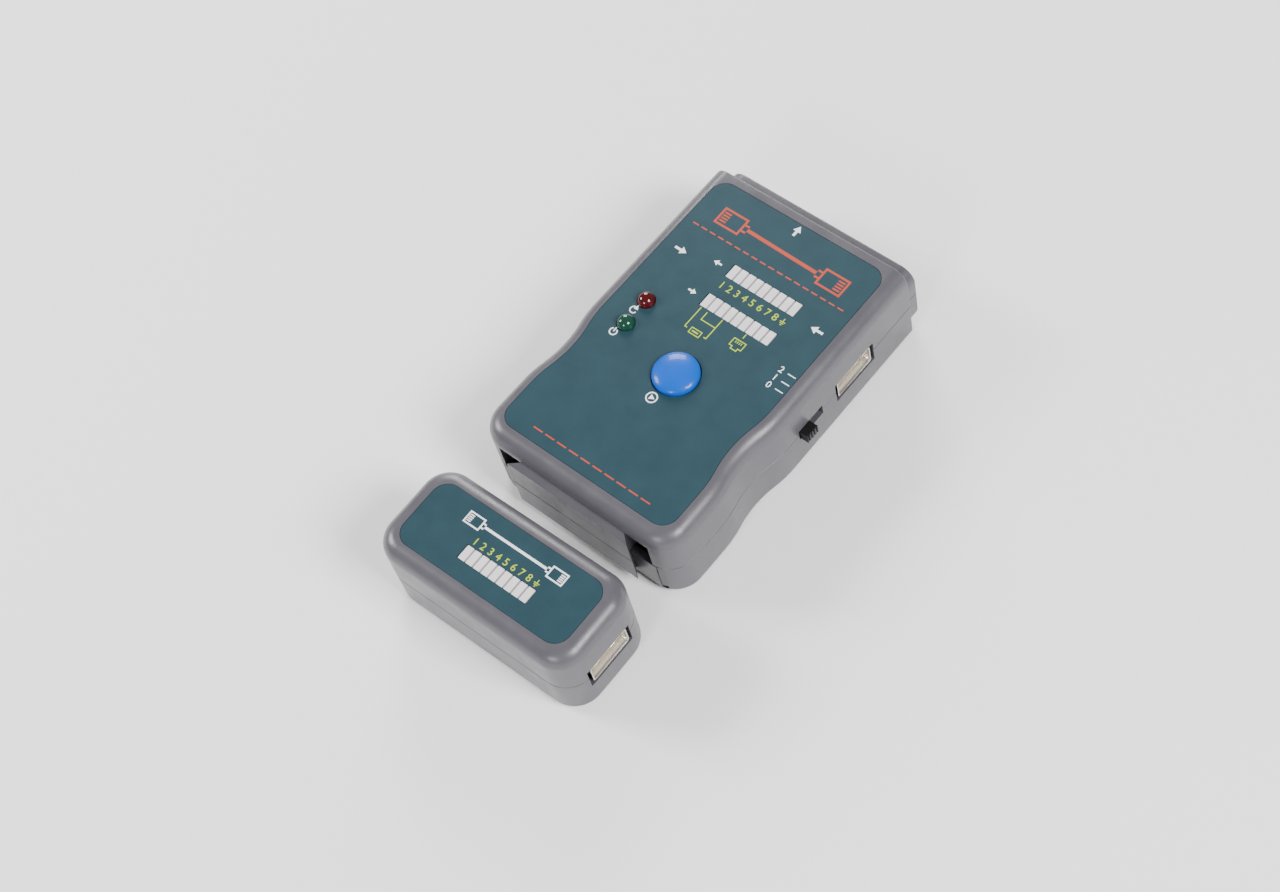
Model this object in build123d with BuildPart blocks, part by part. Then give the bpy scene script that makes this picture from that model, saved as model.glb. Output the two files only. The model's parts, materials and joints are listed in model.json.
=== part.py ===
"""Handheld network cable tester: a main unit and its detached remote unit, lying on a bench.

Millimetres, +Z up. The origin is the middle of the main unit's underside, +Y points to its
transmit end and +X to the side with the slide switch. The remote lies past the -Y end.
"""
import os
from math import cos, radians, sin, tan

from build123d import *

os.makedirs("parts", exist_ok=True)

# ---- main case ----
CASE_LENGTH = 98.5
CASE_WIDTH = 65.2            # at the docking end
CASE_TAPER = 1.2             # how much narrower the case is at the transmit end
CASE_HEIGHT = 28.0
WALL = 2.0
PARTING = 13.5               # height of the joint between the two shells
CORNER = 8.0
TOP_FILLET = 4.5
BASE_FILLET = 3.0
END_EDGE = 0.5               # small rounding where the flat transmit end is cut off
SEAM = 0.22                  # half of the visible groove along the joint
y_dock = -CASE_LENGTH / 2
y_transmit = CASE_LENGTH / 2

WAIST_Y = -16.8              # middle of the grip waist
WAIST_REACH = 14.5
WAIST_DEPTH = 1.6

# ---- clearances ----
FIT = 0.15                   # between pieces that are assembled and stay put
RUN = 0.3                    # between pieces that move

# ---- transmit end collar ----
COLLAR_WIDTH = CASE_WIDTH - 4.0
COLLAR_LENGTH = 4.6
COLLAR_LOW, COLLAR_HIGH = 1.5, CASE_HEIGHT - 5.5
COLLAR_CORNER = 4.5
COLLAR_EDGE = 0.6

# ---- label sheet ----
LABEL_MARGIN = 4.0
LABEL_TOP_MARGIN = 2.7
LABEL_LOW_MARGIN = 4.8
LABEL_RECESS = 0.3
LABEL_THICK = 0.25
LABEL_CORNER = 4.5

# ---- indicators ----
LED_PITCH = 2.54
LED_COUNT = 9
LED_WIDTH = 2.44
LED_DEPTH = 4.2
BAR_X = 4.0                  # middle of both indicator rows
TX_BAR_Y = 24.8
RX_BAR_Y = 14.1
BAR_TOP = CASE_HEIGHT - 0.1
ROUND_LED_X = -19.6
ROUND_LED_Y = (5.0, -3.4)    # red, then green
ROUND_LED_D = 4.9
ROUND_LED_TOP = CASE_HEIGHT + 2.3

# ---- test button ----
BUTTON_X, BUTTON_Y = 1.4, -8.0
BUTTON_D = 12.8
BUTTON_RISE = 2.6
BUTTON_TRAVEL = 0.8
FLANGE_D = 15.6
FLANGE_THICK = 1.0
BUTTON_SKIRT = 1.4           # wall of the button's hollow
TACT_SIZE, TACT_HEIGHT, PLUNGER_D = 6.0, 3.4, 3.4

# ---- battery and its door ----
BATTERY_LENGTH = 46.4
BATTERY_WIDTH = 26.2
BATTERY_HEIGHT = 17.2
BATTERY_X = -23.4            # far end of the battery
BATTERY_Y = y_dock + 6.85
BATTERY_Z = 2.6
SNAP_HEIGHT = 2.4
SNAP_SPACING = 12.7
SNAP_D, SNAP_HEX = 5.7, 4.0  # round snap, and corner radius of the six-sided one
CONTACT_D = 7.2
DOOR_HALF = CASE_WIDTH / 2 - 6.6
DOOR_END = BATTERY_Y + BATTERY_WIDTH + 1.2    # inner edge of the door
DOOR_LIFT = 0.3              # underside of the door above the bench
DOOR_THICK = 1.7
DOOR_TRAVEL = 5.5
RAIL_REACH = 1.6
RAIL_THICK = 1.2
END_PANEL = 2.0
PLATE_THICK = 1.2
PLATE_WIDTH = 23.0
PLATE_HEIGHT = 16.0
CONTACT_THICK = 0.8
RIB = 1.2

# ---- boards ----
BOARD_THICK = 1.6
BOARD_Z = 6.4                # underside of the main board
DISPLAY_Z = 21.0             # underside of the display board
DISPLAY_THICK = 1.4
BOARD_TOP = BOARD_Z + BOARD_THICK
DISPLAY_TOP = DISPLAY_Z + DISPLAY_THICK
DISPLAY_WIDTH = 45.0
DISPLAY_LOW, DISPLAY_HIGH = -15.5, 35.8
BOARD_WIDTH = CASE_WIDTH - 9.2
BOARD_LOW, BOARD_HIGH = DOOR_END + 7.5, y_transmit - WALL - 0.75

HEADER_PINS, PIN = 8, 0.64
HEADER_Y = -4.6
HEADER_HEIGHT, SOCKET_HEIGHT = 2.5, 8.5
CHIP_PITCH, CHIP_HEIGHT, LEAD_WIDTH = 1.27, 2.1, 0.42
RESISTOR = (1.25, 2.0, 0.55)
CAPACITOR_D, CAPACITOR_HEIGHT = 6.3, 8.0

# ---- screws ----
CASE_SHANK, BOARD_SHANK = 13.0, 5.0
BOSS_D = 6.0
SCREW_D = 2.4
SCREW_HEAD_D = 4.4
SCREW_HEAD = 1.8
SCREW_X, SCREW_X_HIGH = CASE_WIDTH / 2 - 6.6, (CASE_WIDTH - CASE_TAPER) / 2 - 6.8
SCREW_LOW, SCREW_HIGH = DOOR_END + 3.5, y_transmit - 6.45
CASE_SCREWS = (
    (SCREW_X, SCREW_LOW), (-SCREW_X, SCREW_LOW), (SCREW_X_HIGH, SCREW_HIGH), (-SCREW_X_HIGH, SCREW_HIGH),
)
SMALL_SCREW_D = 1.8
SMALL_HEAD_D = 3.4
SMALL_HEAD = 1.2
PILLAR_D = 4.6
BOARD_SCREW_LOW, BOARD_SCREW_HIGH = BOARD_LOW + 3.5, y_transmit - 13.65
BOARD_SCREWS = (
    (21.0, BOARD_SCREW_LOW), (-21.0, BOARD_SCREW_LOW), (21.6, BOARD_SCREW_HIGH), (-21.6, BOARD_SCREW_HIGH),
)
DISPLAY_SCREWS = ((15.0, -12.5), (-15.0, -12.5), (19.0, 33.2), (-19.0, 33.2))

# ---- modular jacks ----
JACK_WIDTH = 15.2
JACK_HEIGHT = 12.0
JACK_DEPTH = 17.5
JACK_MOUTH = 11.8
JACK_MOUTH_HEIGHT = 7.4
JACK_MOUTH_DEPTH = 12.5
JACK_SILL = 2.4              # plastic under the mouth
JACK_TX_X = -10.5
JACK_RX_Y = 23.5
JACK_INSET = 0.6             # mouth behind the case face
CONTACT_PITCH = 1.02

# ---- USB sockets ----
USB_WIDTH = 13.2
USB_HEIGHT = 5.8
USB_DEPTH = 14.0
USB_METAL = 0.35
USB_FLARE = 0.7
USB_HOLE_WIDTH = 16.0
USB_HOLE_HEIGHT = 7.4
USB_Z = 13.0
USB_A_Y = 25.0
USB_INSET = 0.3
USB_B_X = 12.5
USB_B_WIDTH = 12.0
USB_B_HEIGHT = 10.8
USB_B_DEPTH = 16.0
USB_B_MOUTH = (8.6, 7.9)
USB_B_MOUTH_DEPTH = 9.0
USB_B_BEVEL = 1.6            # the two cut upper corners of the square mouth
USB_B_TONGUE = (5.6, 3.2)

# ---- slide switch ----
KNOB_Y = 3.9                 # middle of the knob in its off place
KNOB_TRAVEL = 5.0
KNOB_LENGTH = 4.2
KNOB_HEIGHT = 3.0
KNOB_REACH = 2.6             # how far it stands out of the case
SWITCH_BODY_X = CASE_WIDTH / 2 - 8.6
SWITCH_BODY_DEPTH = 5.2

# ---- dock ----
TONGUE_HALF = 20.3           # at the free face
TONGUE_REACH = 2.3
TONGUE_FLANK = 50.0          # flank angle from the sliding face's normal, degrees
TONGUE_LOW = 4.0
TONGUE_TOP = CASE_HEIGHT - TOP_FILLET - 0.7
POCKET_OUT = 25.2
POCKET_DEPTH = 4.0
POCKET_LINER = 1.5

# ---- remote ----
REMOTE_X, REMOTE_Y = -0.2, y_dock - 25.85
REMOTE_TURN = 1.1            # degrees
REMOTE_WIDTH = CASE_WIDTH
REMOTE_DEPTH = 29.4
REMOTE_LABEL_WIDTH = REMOTE_WIDTH - 10.0
REMOTE_LABEL_DEPTH = 20.0
REMOTE_BAR_X, REMOTE_BAR_Y = 1.4, -3.0
REMOTE_SCREWS = ((-11.2, 5.4), (14.6, 5.4))
REMOTE_BOARD_SCREWS = ((-11.6, -9.4), (14.6, -9.4))
REMOTE_BOARD_WIDTH = REMOTE_WIDTH - 7.2

ceiling = CASE_HEIGHT - WALL
label_floor = CASE_HEIGHT - LABEL_RECESS
plate_x = BATTERY_X + BATTERY_LENGTH + SNAP_HEIGHT + CONTACT_THICK + 2 * FIT
plate_back = plate_x + PLATE_THICK + FIT
plate_y = BATTERY_Y + (BATTERY_WIDTH - PLATE_WIDTH) / 2
plate_z = WALL + RAIL_THICK + 3 * RUN
tongue_root_half = TONGUE_HALF - TONGUE_REACH * tan(radians(TONGUE_FLANK))
pocket_x = (POCKET_OUT + tongue_root_half) / 2
pocket_width = POCKET_OUT - tongue_root_half


def half_width(y):
    """Half the width of the case at y, leaving the waist out."""
    return CASE_WIDTH / 2 - CASE_TAPER / 2 * (y - y_dock) / CASE_LENGTH


def case_outline(inset, y_low, y_high, corner):
    """Plan outline of the case drawn in by inset at its sides, with the waist in each side."""
    low = Vector(half_width(y_low) - inset, y_low)
    high = Vector(half_width(y_high) - inset, y_high)
    along = (high - low).normalized()
    centre = Vector(half_width(WAIST_Y) - inset, WAIST_Y)
    waist = centre + Vector(-along.Y, along.X) * WAIST_DEPTH
    start, end = centre - along * WAIST_REACH, centre + along * WAIST_REACH
    with BuildSketch() as outline:
        with BuildLine():
            Line((0, y_low), low)
            Line(low, start)
            TangentArc(start, (start + waist) / 2, tangent=along)
            ThreePointArc((start + waist) / 2, waist, (waist + end) / 2)
            TangentArc(end, (waist + end) / 2, tangent=-along)
            Line(end, high)
            Line(high, (0, y_high))
            mirror(about=Plane.YZ)
        make_face()
        fillet(outline.vertices().group_by(Axis.Y)[0], corner)
        fillet(outline.vertices().group_by(Axis.Y)[-1], corner)
    return outline.sketch


def tongue_outline(clearance):
    """Plan outline of the docking tongue, grown by clearance, standing out of the dock end."""
    root, tip = tongue_root_half + clearance, TONGUE_HALF + clearance
    y_tip = y_dock - TONGUE_REACH - clearance
    with BuildSketch() as outline:
        with BuildLine():
            Polyline((-root, y_dock), (-tip, y_tip), (tip, y_tip), (root, y_dock), close=True)
        make_face()
    return outline.sketch


def led_rows(plane, x, y, base, top):
    """A row of rectangular indicator bodies, standing on a board, with a step at the foot."""
    with BuildPart() as row:
        with BuildSketch(plane.offset(base)):
            with Locations((x, y)):
                with GridLocations(LED_PITCH, 1, LED_COUNT, 1):
                    Rectangle(LED_WIDTH, LED_DEPTH)
        extrude(amount=top - base)
    return row.part


def modular_jack(mouth):
    """Eight-way modular jack: mouth is a plane at the middle of its face, facing out, x across."""
    sill = JACK_SILL - JACK_HEIGHT / 2
    with BuildPart() as jack:
        with BuildSketch(mouth):
            Rectangle(JACK_WIDTH, JACK_HEIGHT)
        extrude(amount=-JACK_DEPTH)
        with BuildSketch(mouth) as opening:
            with Locations((0, sill)):
                Rectangle(JACK_MOUTH, JACK_MOUTH_HEIGHT, align=(Align.CENTER, Align.MIN))
            with Locations((0, sill + 0.4)):
                Rectangle(6.2, 1.6, align=(Align.CENTER, Align.MAX))
        extrude(amount=-JACK_MOUTH_DEPTH, mode=Mode.SUBTRACT)
        with BuildSketch(mouth):
            with Locations((0, sill + 0.4)):
                Rectangle(3.4, 2.2, align=(Align.CENTER, Align.MAX))
        extrude(amount=-JACK_MOUTH_DEPTH, mode=Mode.SUBTRACT)
    return jack.part


def jack_contacts(mouth):
    """Eight sprung wires that slope down from the roof of a modular jack's mouth."""
    roof = JACK_SILL + JACK_MOUTH_HEIGHT - JACK_HEIGHT / 2
    start, rise = 4.0, 1.4
    with BuildPart() as contacts:
        for index in range(8):
            across = (index - 3.5) * CONTACT_PITCH
            side = Plane(mouth.from_local_coords((across, 0, 0)), x_dir=mouth.z_dir, z_dir=-mouth.x_dir)
            with BuildSketch(side):
                with BuildLine():
                    Polyline(
                        (-start, roof - 0.05), (-start - 7.6, roof - rise - 0.2),
                        (-start - 7.6, roof - rise - 0.55), (-start, roof - 0.4), close=True,
                    )
                make_face()
            extrude(amount=0.23, both=True)
    return contacts.part


def usb_a_shell(mouth):
    """Sheet-metal shell of a flat USB socket, with its lips turned out at the mouth."""
    inner_w, inner_h = USB_WIDTH - 2 * USB_METAL, USB_HEIGHT - 2 * USB_METAL
    with BuildPart() as shell:
        with BuildSketch(mouth.offset(-USB_FLARE)):
            Rectangle(USB_WIDTH, USB_HEIGHT)
        extrude(amount=-USB_DEPTH + USB_FLARE)
        with BuildSketch(mouth.offset(-USB_FLARE)):
            Rectangle(USB_WIDTH, USB_HEIGHT)
        with BuildSketch(mouth):
            Rectangle(USB_WIDTH + USB_FLARE, USB_HEIGHT + USB_FLARE)
        loft()
        with BuildSketch(mouth.offset(-USB_FLARE)):
            Rectangle(inner_w, inner_h)
        extrude(amount=-USB_DEPTH + USB_FLARE + USB_METAL, mode=Mode.SUBTRACT)
        with BuildSketch(mouth.offset(-USB_FLARE)):
            Rectangle(inner_w, inner_h)
        with BuildSketch(mouth):
            Rectangle(inner_w + USB_FLARE, inner_h + USB_FLARE)
        loft(mode=Mode.SUBTRACT)
    return shell.part


def usb_a_insert(mouth):
    """Plastic block at the back of a flat USB socket, with the tongue that carries its contacts."""
    inner_w, inner_h = USB_WIDTH - 2 * USB_METAL - 0.1, USB_HEIGHT - 2 * USB_METAL - 0.1
    with BuildPart() as insert:
        with BuildSketch(mouth.offset(-USB_DEPTH + USB_METAL + 0.05)):
            Rectangle(inner_w, inner_h)
        extrude(amount=3.2)
        with BuildSketch(mouth.offset(-USB_DEPTH + USB_METAL + 3.0)):
            with Locations((0, 0.9)):
                Rectangle(11.1, 1.8)
        extrude(amount=9.2)
    return insert.part


def usb_a_contacts(mouth):
    """Four flat contacts under the tongue of a flat USB socket."""
    with BuildPart() as contacts:
        with BuildSketch(mouth.offset(-USB_DEPTH + USB_METAL + 3.4)):
            with Locations((-3.5, -0.15), (-1.0, -0.15), (1.0, -0.15), (3.5, -0.15)):
                Rectangle(1.0, 0.3)
        extrude(amount=7.6)
    return contacts.part


def pan_screws(plane, places, shank_d, shank, head_d, head):
    """Pan-head screws whose heads stand on the plane and whose shanks go below it."""
    with BuildPart() as screws:
        with BuildSketch(plane):
            with Locations(*places):
                Circle(head_d / 2)
        extrude(amount=head)
        fillet(screws.faces().filter_by(Axis.Z).sort_by(Axis.Z)[-len(places):].edges(), head * 0.35)
        with BuildSketch(plane.offset(head)):
            with Locations(*places):
                Rectangle(head_d * 0.55, head_d * 0.14)
                Rectangle(head_d * 0.14, head_d * 0.55)
        extrude(amount=-head * 0.45, mode=Mode.SUBTRACT)
        with BuildSketch(plane):
            with Locations(*places):
                Circle(shank_d / 2)
        extrude(amount=-shank)
    return screws.part


# ---- planes of the sockets ----
collar_face = y_transmit + COLLAR_LENGTH
jack_z = BOARD_TOP + JACK_HEIGHT / 2
tx_mouth = Plane((JACK_TX_X, collar_face - JACK_INSET, jack_z), x_dir=(-1, 0, 0), z_dir=(0, 1, 0))
rx_mouth = Plane(
    (-half_width(JACK_RX_Y) + JACK_INSET, JACK_RX_Y, jack_z), x_dir=(0, -1, 0), z_dir=(-1, 0, 0),
)
usb_mouth = Plane((half_width(USB_A_Y) - USB_INSET, USB_A_Y, USB_Z), x_dir=(0, 1, 0), z_dir=(1, 0, 0))
usb_b_z = BOARD_TOP + USB_B_HEIGHT / 2
usb_b_mouth = Plane((USB_B_X, collar_face - JACK_INSET, usb_b_z), x_dir=(-1, 0, 0), z_dir=(0, 1, 0))

bench = Plane(
    (REMOTE_X, REMOTE_Y, 0),
    x_dir=(cos(radians(REMOTE_TURN)), sin(radians(REMOTE_TURN)), 0), z_dir=(0, 0, 1),
)


def remote_plane(x, y, z, outward):
    """Plane of a remote socket: outward is +1 for its right end and -1 for its left end."""
    return Plane(
        bench.from_local_coords((x, y, z)), x_dir=bench.y_dir * outward, z_dir=bench.x_dir * outward,
    )


remote_usb_mouth = remote_plane(REMOTE_WIDTH / 2 - USB_INSET, 0, USB_Z, 1)
remote_jack_mouth = remote_plane(-REMOTE_WIDTH / 2 + JACK_INSET, 0, jack_z, -1)

# ---- outer form of the main unit, shared by both shells ----
full_outline = case_outline(0, y_dock, y_transmit + CORNER, CORNER)
cavity_outline = case_outline(WALL, y_dock + WALL, y_transmit - WALL, CORNER - WALL)
label_low, label_high = y_dock + LABEL_LOW_MARGIN, y_transmit - LABEL_TOP_MARGIN
label_outline = case_outline(LABEL_MARGIN + FIT, label_low, label_high, LABEL_CORNER)
recess_outline = case_outline(LABEL_MARGIN, label_low - FIT, label_high + FIT, LABEL_CORNER + FIT)

with BuildPart() as case_form:
    with BuildSketch():
        add(full_outline)
    extrude(amount=CASE_HEIGHT)
    fillet(case_form.faces().sort_by(Axis.Z)[-1].edges(), TOP_FILLET)
    fillet(case_form.faces().sort_by(Axis.Z)[0].edges(), BASE_FILLET)
    split(bisect_by=Plane.XZ.offset(-y_transmit), keep=Keep.TOP)
    fillet(case_form.faces().sort_by(Axis.Y)[-1].edges(), END_EDGE)
    with BuildSketch(Plane.XZ.offset(-y_transmit + WALL)):
        with Locations((0, (COLLAR_LOW + COLLAR_HIGH) / 2)):
            RectangleRounded(COLLAR_WIDTH, COLLAR_HIGH - COLLAR_LOW, COLLAR_CORNER)
    extrude(amount=-COLLAR_LENGTH - WALL)
    fillet(case_form.faces().sort_by(Axis.Y)[-1].edges(), COLLAR_EDGE)

# ---- holes for the sockets and the slide switch, cut from both shells ----
slot_low = KNOB_Y - KNOB_LENGTH / 2 - RUN
slot_high = KNOB_Y + KNOB_TRAVEL + KNOB_LENGTH / 2 + RUN
with BuildPart() as case_holes:
    for mouth in (tx_mouth, rx_mouth):
        with BuildSketch(mouth.offset(COLLAR_LENGTH)):
            Rectangle(JACK_WIDTH + 2 * FIT, JACK_HEIGHT + 2 * FIT)
        extrude(amount=-COLLAR_LENGTH - JACK_DEPTH)
    with BuildSketch(usb_b_mouth.offset(COLLAR_LENGTH)):
        Rectangle(USB_B_WIDTH + 2 * FIT, USB_B_HEIGHT + 2 * FIT)
    extrude(amount=-COLLAR_LENGTH - USB_B_DEPTH)
    with BuildSketch(usb_mouth.offset(WALL)):
        Rectangle(USB_HOLE_WIDTH, USB_HOLE_HEIGHT)
    extrude(amount=-3 * WALL)
    with BuildSketch(Plane.YZ.offset(half_width(KNOB_Y) + WALL)):
        with Locations(((slot_low + slot_high) / 2, PARTING)):
            Rectangle(slot_high - slot_low, KNOB_HEIGHT + 2 * RUN)
    extrude(amount=-3 * WALL)

# ---- front housing ----
with BuildPart() as front_housing:
    add(case_form.part)
    split(bisect_by=Plane.XY.offset(PARTING), keep=Keep.TOP)
    chamfer(front_housing.faces().sort_by(Axis.Z)[0].outer_wire().edges(), SEAM)
    with BuildSketch(Plane.XY.offset(PARTING)):
        add(cavity_outline)
    extrude(amount=ceiling - PARTING, mode=Mode.SUBTRACT)
    # tongue, and the two blind pockets beside it with their liners
    with BuildSketch(Plane.XY.offset(PARTING + SEAM)):
        add(tongue_outline(0))
    extrude(amount=TONGUE_TOP - PARTING - SEAM)
    with BuildSketch(Plane.XY.offset(PARTING)):
        with Locations((pocket_x, y_dock + WALL), (-pocket_x, y_dock + WALL)):
            Rectangle(
                pocket_width + 2 * POCKET_LINER, POCKET_DEPTH + POCKET_LINER - WALL,
                align=(Align.CENTER, Align.MIN),
            )
    extrude(amount=ceiling - PARTING)
    with BuildSketch(Plane.XY.offset(PARTING)):
        with Locations((pocket_x, y_dock), (-pocket_x, y_dock)):
            Rectangle(pocket_width, POCKET_DEPTH, align=(Align.CENTER, Align.MIN))
    extrude(amount=TONGUE_TOP - PARTING, mode=Mode.SUBTRACT)
    # label recess and windows
    with BuildSketch(Plane.XY.offset(label_floor)):
        add(recess_outline)
    extrude(amount=LABEL_RECESS, mode=Mode.SUBTRACT)
    with BuildSketch(Plane.XY.offset(ceiling)):
        with Locations((BAR_X, TX_BAR_Y), (BAR_X, RX_BAR_Y)):
            Rectangle(LED_PITCH * LED_COUNT + 2 * FIT, LED_DEPTH + 2 * FIT)
        with Locations((ROUND_LED_X, ROUND_LED_Y[0]), (ROUND_LED_X, ROUND_LED_Y[1])):
            Circle(ROUND_LED_D / 2 + FIT)
        with Locations((BUTTON_X, BUTTON_Y)):
            Circle(BUTTON_D / 2 + RUN)
    extrude(amount=WALL, mode=Mode.SUBTRACT)
    # screw bosses and display pillars
    with BuildSketch(Plane.XY.offset(PARTING + FIT)):
        with Locations(*CASE_SCREWS):
            Circle(BOSS_D / 2)
    extrude(until=Until.NEXT)
    with BuildSketch(Plane.XY.offset(PARTING)):
        with Locations(*CASE_SCREWS):
            Circle(SCREW_D / 2 + FIT / 3)
    extrude(amount=ceiling - PARTING - 1, mode=Mode.SUBTRACT)
    with BuildSketch(Plane.XY.offset(DISPLAY_TOP + FIT)):
        with Locations(*DISPLAY_SCREWS):
            Circle(PILLAR_D / 2)
    extrude(amount=ceiling - DISPLAY_TOP - FIT)
    with BuildSketch(Plane.XY.offset(DISPLAY_TOP)):
        with Locations(*DISPLAY_SCREWS):
            Circle(SMALL_SCREW_D / 2 + FIT / 3)
    extrude(amount=ceiling - DISPLAY_TOP - 0.2, mode=Mode.SUBTRACT)
    add(case_holes.part, mode=Mode.SUBTRACT)
front_housing.part.label = "front_housing"
export_step(front_housing.part, "parts/front_housing.step")

# ---- rear housing ----
door_gap = DOOR_HALF + RUN
with BuildPart() as rear_housing:
    add(case_form.part)
    split(bisect_by=Plane.XY.offset(PARTING), keep=Keep.BOTTOM)
    chamfer(rear_housing.faces().sort_by(Axis.Z)[-1].outer_wire().edges(), SEAM)
    with BuildSketch(Plane.XY.offset(WALL)):
        add(cavity_outline)
    extrude(amount=PARTING - WALL, mode=Mode.SUBTRACT)
    # opening for the battery door, through the floor and the dock end
    with BuildSketch():
        with Locations((0, y_dock - 1)):
            Rectangle(2 * door_gap, DOOR_END + RUN - y_dock + 1, align=(Align.CENTER, Align.MIN))
    extrude(amount=WALL, mode=Mode.SUBTRACT)
    with BuildSketch(Plane.XZ.offset(-y_dock + 1)):
        Rectangle(2 * door_gap, PARTING, align=(Align.CENTER, Align.MIN))
    extrude(amount=-WALL - 2, mode=Mode.SUBTRACT)
    # clearance for the door's rails where they pass the end wall
    with BuildSketch(Plane.XZ.offset(-y_dock + 1)):
        with Locations((0, WALL - 0.1)):
            Rectangle(
                2 * (DOOR_HALF + RAIL_REACH + RUN), RAIL_THICK + 2 * RUN + 0.1,
                align=(Align.CENTER, Align.MIN),
            )
    extrude(amount=-WALL - 2, mode=Mode.SUBTRACT)
    # wall between battery and boards
    with BuildSketch(Plane.XY.offset(WALL)):
        with Locations((0, DOOR_END + RUN)):
            Rectangle(2 * (DOOR_HALF - 6), WALL * 0.7, align=(Align.CENTER, Align.MIN))
    extrude(amount=PARTING - WALL - FIT)
    # screw bosses, counterbored from below, and board pillars
    with BuildSketch(Plane.XY.offset(WALL)):
        with Locations(*CASE_SCREWS):
            Circle(BOSS_D / 2)
    extrude(amount=PARTING - WALL - FIT)
    with BuildSketch():
        with Locations(*CASE_SCREWS):
            Circle(SCREW_HEAD_D / 2 + FIT)
    extrude(amount=PARTING / 2, mode=Mode.SUBTRACT)
    with BuildSketch():
        with Locations(*CASE_SCREWS):
            Circle(SCREW_D / 2 + FIT)
    extrude(amount=PARTING, mode=Mode.SUBTRACT)
    with BuildSketch(Plane.XY.offset(WALL)):
        with Locations(*BOARD_SCREWS):
            Circle(PILLAR_D / 2)
    extrude(amount=BOARD_Z - WALL)
    with BuildSketch(Plane.XY.offset(WALL)):
        with Locations(*BOARD_SCREWS):
            Circle(SMALL_SCREW_D / 2 + FIT / 3)
    extrude(amount=BOARD_Z - WALL, mode=Mode.SUBTRACT)

    # ribs behind the battery contact plate
    for rib_y, wall_dip in ((plate_y + RIB, 0), (plate_y + PLATE_WIDTH - RIB, WAIST_DEPTH)):
        with BuildSketch(Plane((plate_back, rib_y, plate_z))):
            Rectangle(
                half_width(rib_y) - wall_dip - WALL / 2 - plate_back, RIB,
                align=(Align.MIN, Align.CENTER),
            )
        extrude(amount=PARTING - plate_z - FIT)
    add(case_holes.part, mode=Mode.SUBTRACT)
rear_housing.part.label = "rear_housing"
export_step(rear_housing.part, "parts/rear_housing.step")

# ---- battery door: floor panel, end panel with the lower half of the tongue, and side rails ----
with BuildPart() as battery_door:
    with BuildSketch(Plane.XY.offset(DOOR_LIFT)):
        with Locations((0, y_dock)):
            Rectangle(2 * DOOR_HALF, DOOR_END - y_dock, align=(Align.CENTER, Align.MIN))
    extrude(amount=DOOR_THICK)
    with BuildSketch(Plane.XY.offset(DOOR_LIFT)):
        with Locations((0, y_dock)):
            Rectangle(2 * DOOR_HALF, END_PANEL, align=(Align.CENTER, Align.MIN))
    extrude(amount=PARTING - SEAM - DOOR_LIFT)
    add(case_form.part, mode=Mode.INTERSECT)
    with BuildSketch(Plane.XY.offset(TONGUE_LOW)):
        add(tongue_outline(0))
    extrude(amount=PARTING - SEAM - TONGUE_LOW)
    door_top = DOOR_LIFT + DOOR_THICK
    with BuildSketch(Plane.XZ.offset(-y_dock - END_PANEL)):
        with Locations((DOOR_HALF - RAIL_REACH, door_top), (RAIL_REACH - DOOR_HALF, door_top)):
            Rectangle(RAIL_REACH, WALL + RUN + RAIL_THICK - door_top, align=(Align.CENTER, Align.MIN))
        with Locations((DOOR_HALF, WALL + RUN), (-DOOR_HALF, WALL + RUN)):
            Rectangle(2 * RAIL_REACH, RAIL_THICK, align=(Align.CENTER, Align.MIN))
    extrude(amount=-(DOOR_END - RAIL_REACH - y_dock - END_PANEL))
battery_door.part.label = "battery_door"
export_step(battery_door.part, "parts/battery_door.step")

# ---- label sheet ----
with BuildPart() as front_label:
    with BuildSketch(Plane.XY.offset(label_floor)):
        add(label_outline)
        with Locations((BAR_X, TX_BAR_Y), (BAR_X, RX_BAR_Y)):
            Rectangle(LED_PITCH * LED_COUNT + FIT, LED_DEPTH + FIT, mode=Mode.SUBTRACT)
        with Locations((ROUND_LED_X, ROUND_LED_Y[0]), (ROUND_LED_X, ROUND_LED_Y[1])):
            Circle(ROUND_LED_D / 2 + FIT, mode=Mode.SUBTRACT)
        with Locations((BUTTON_X, BUTTON_Y)):
            Circle(BUTTON_D / 2 + RUN, mode=Mode.SUBTRACT)
    extrude(amount=LABEL_THICK)
front_label.part.label = "front_label"
export_step(front_label.part, "parts/front_label.step")

# ---- indicators of the main unit ----
tx_leds = led_rows(Plane.XY, BAR_X, TX_BAR_Y, DISPLAY_TOP, BAR_TOP)
tx_leds.label = "tx_leds"
export_step(tx_leds, "parts/tx_leds.step")
rx_leds = led_rows(Plane.XY, BAR_X, RX_BAR_Y, DISPLAY_TOP, BAR_TOP)
rx_leds.label = "rx_leds"
export_step(rx_leds, "parts/rx_leds.step")

for name, y in zip(("red_led", "green_led"), ROUND_LED_Y):
    with BuildPart() as round_led:
        with BuildSketch(Plane((ROUND_LED_X, y, DISPLAY_TOP))):
            Circle(ROUND_LED_D / 2 + 0.4)
        extrude(amount=1.0)
        with BuildSketch(Plane((ROUND_LED_X, y, DISPLAY_TOP))):
            Circle(ROUND_LED_D / 2)
        extrude(amount=ROUND_LED_TOP - DISPLAY_TOP)
        fillet(round_led.faces().sort_by(Axis.Z)[-1].edges(), ROUND_LED_D / 2 - 0.05)
    round_led.part.label = name
    export_step(round_led.part, f"parts/{name}.step")

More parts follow.
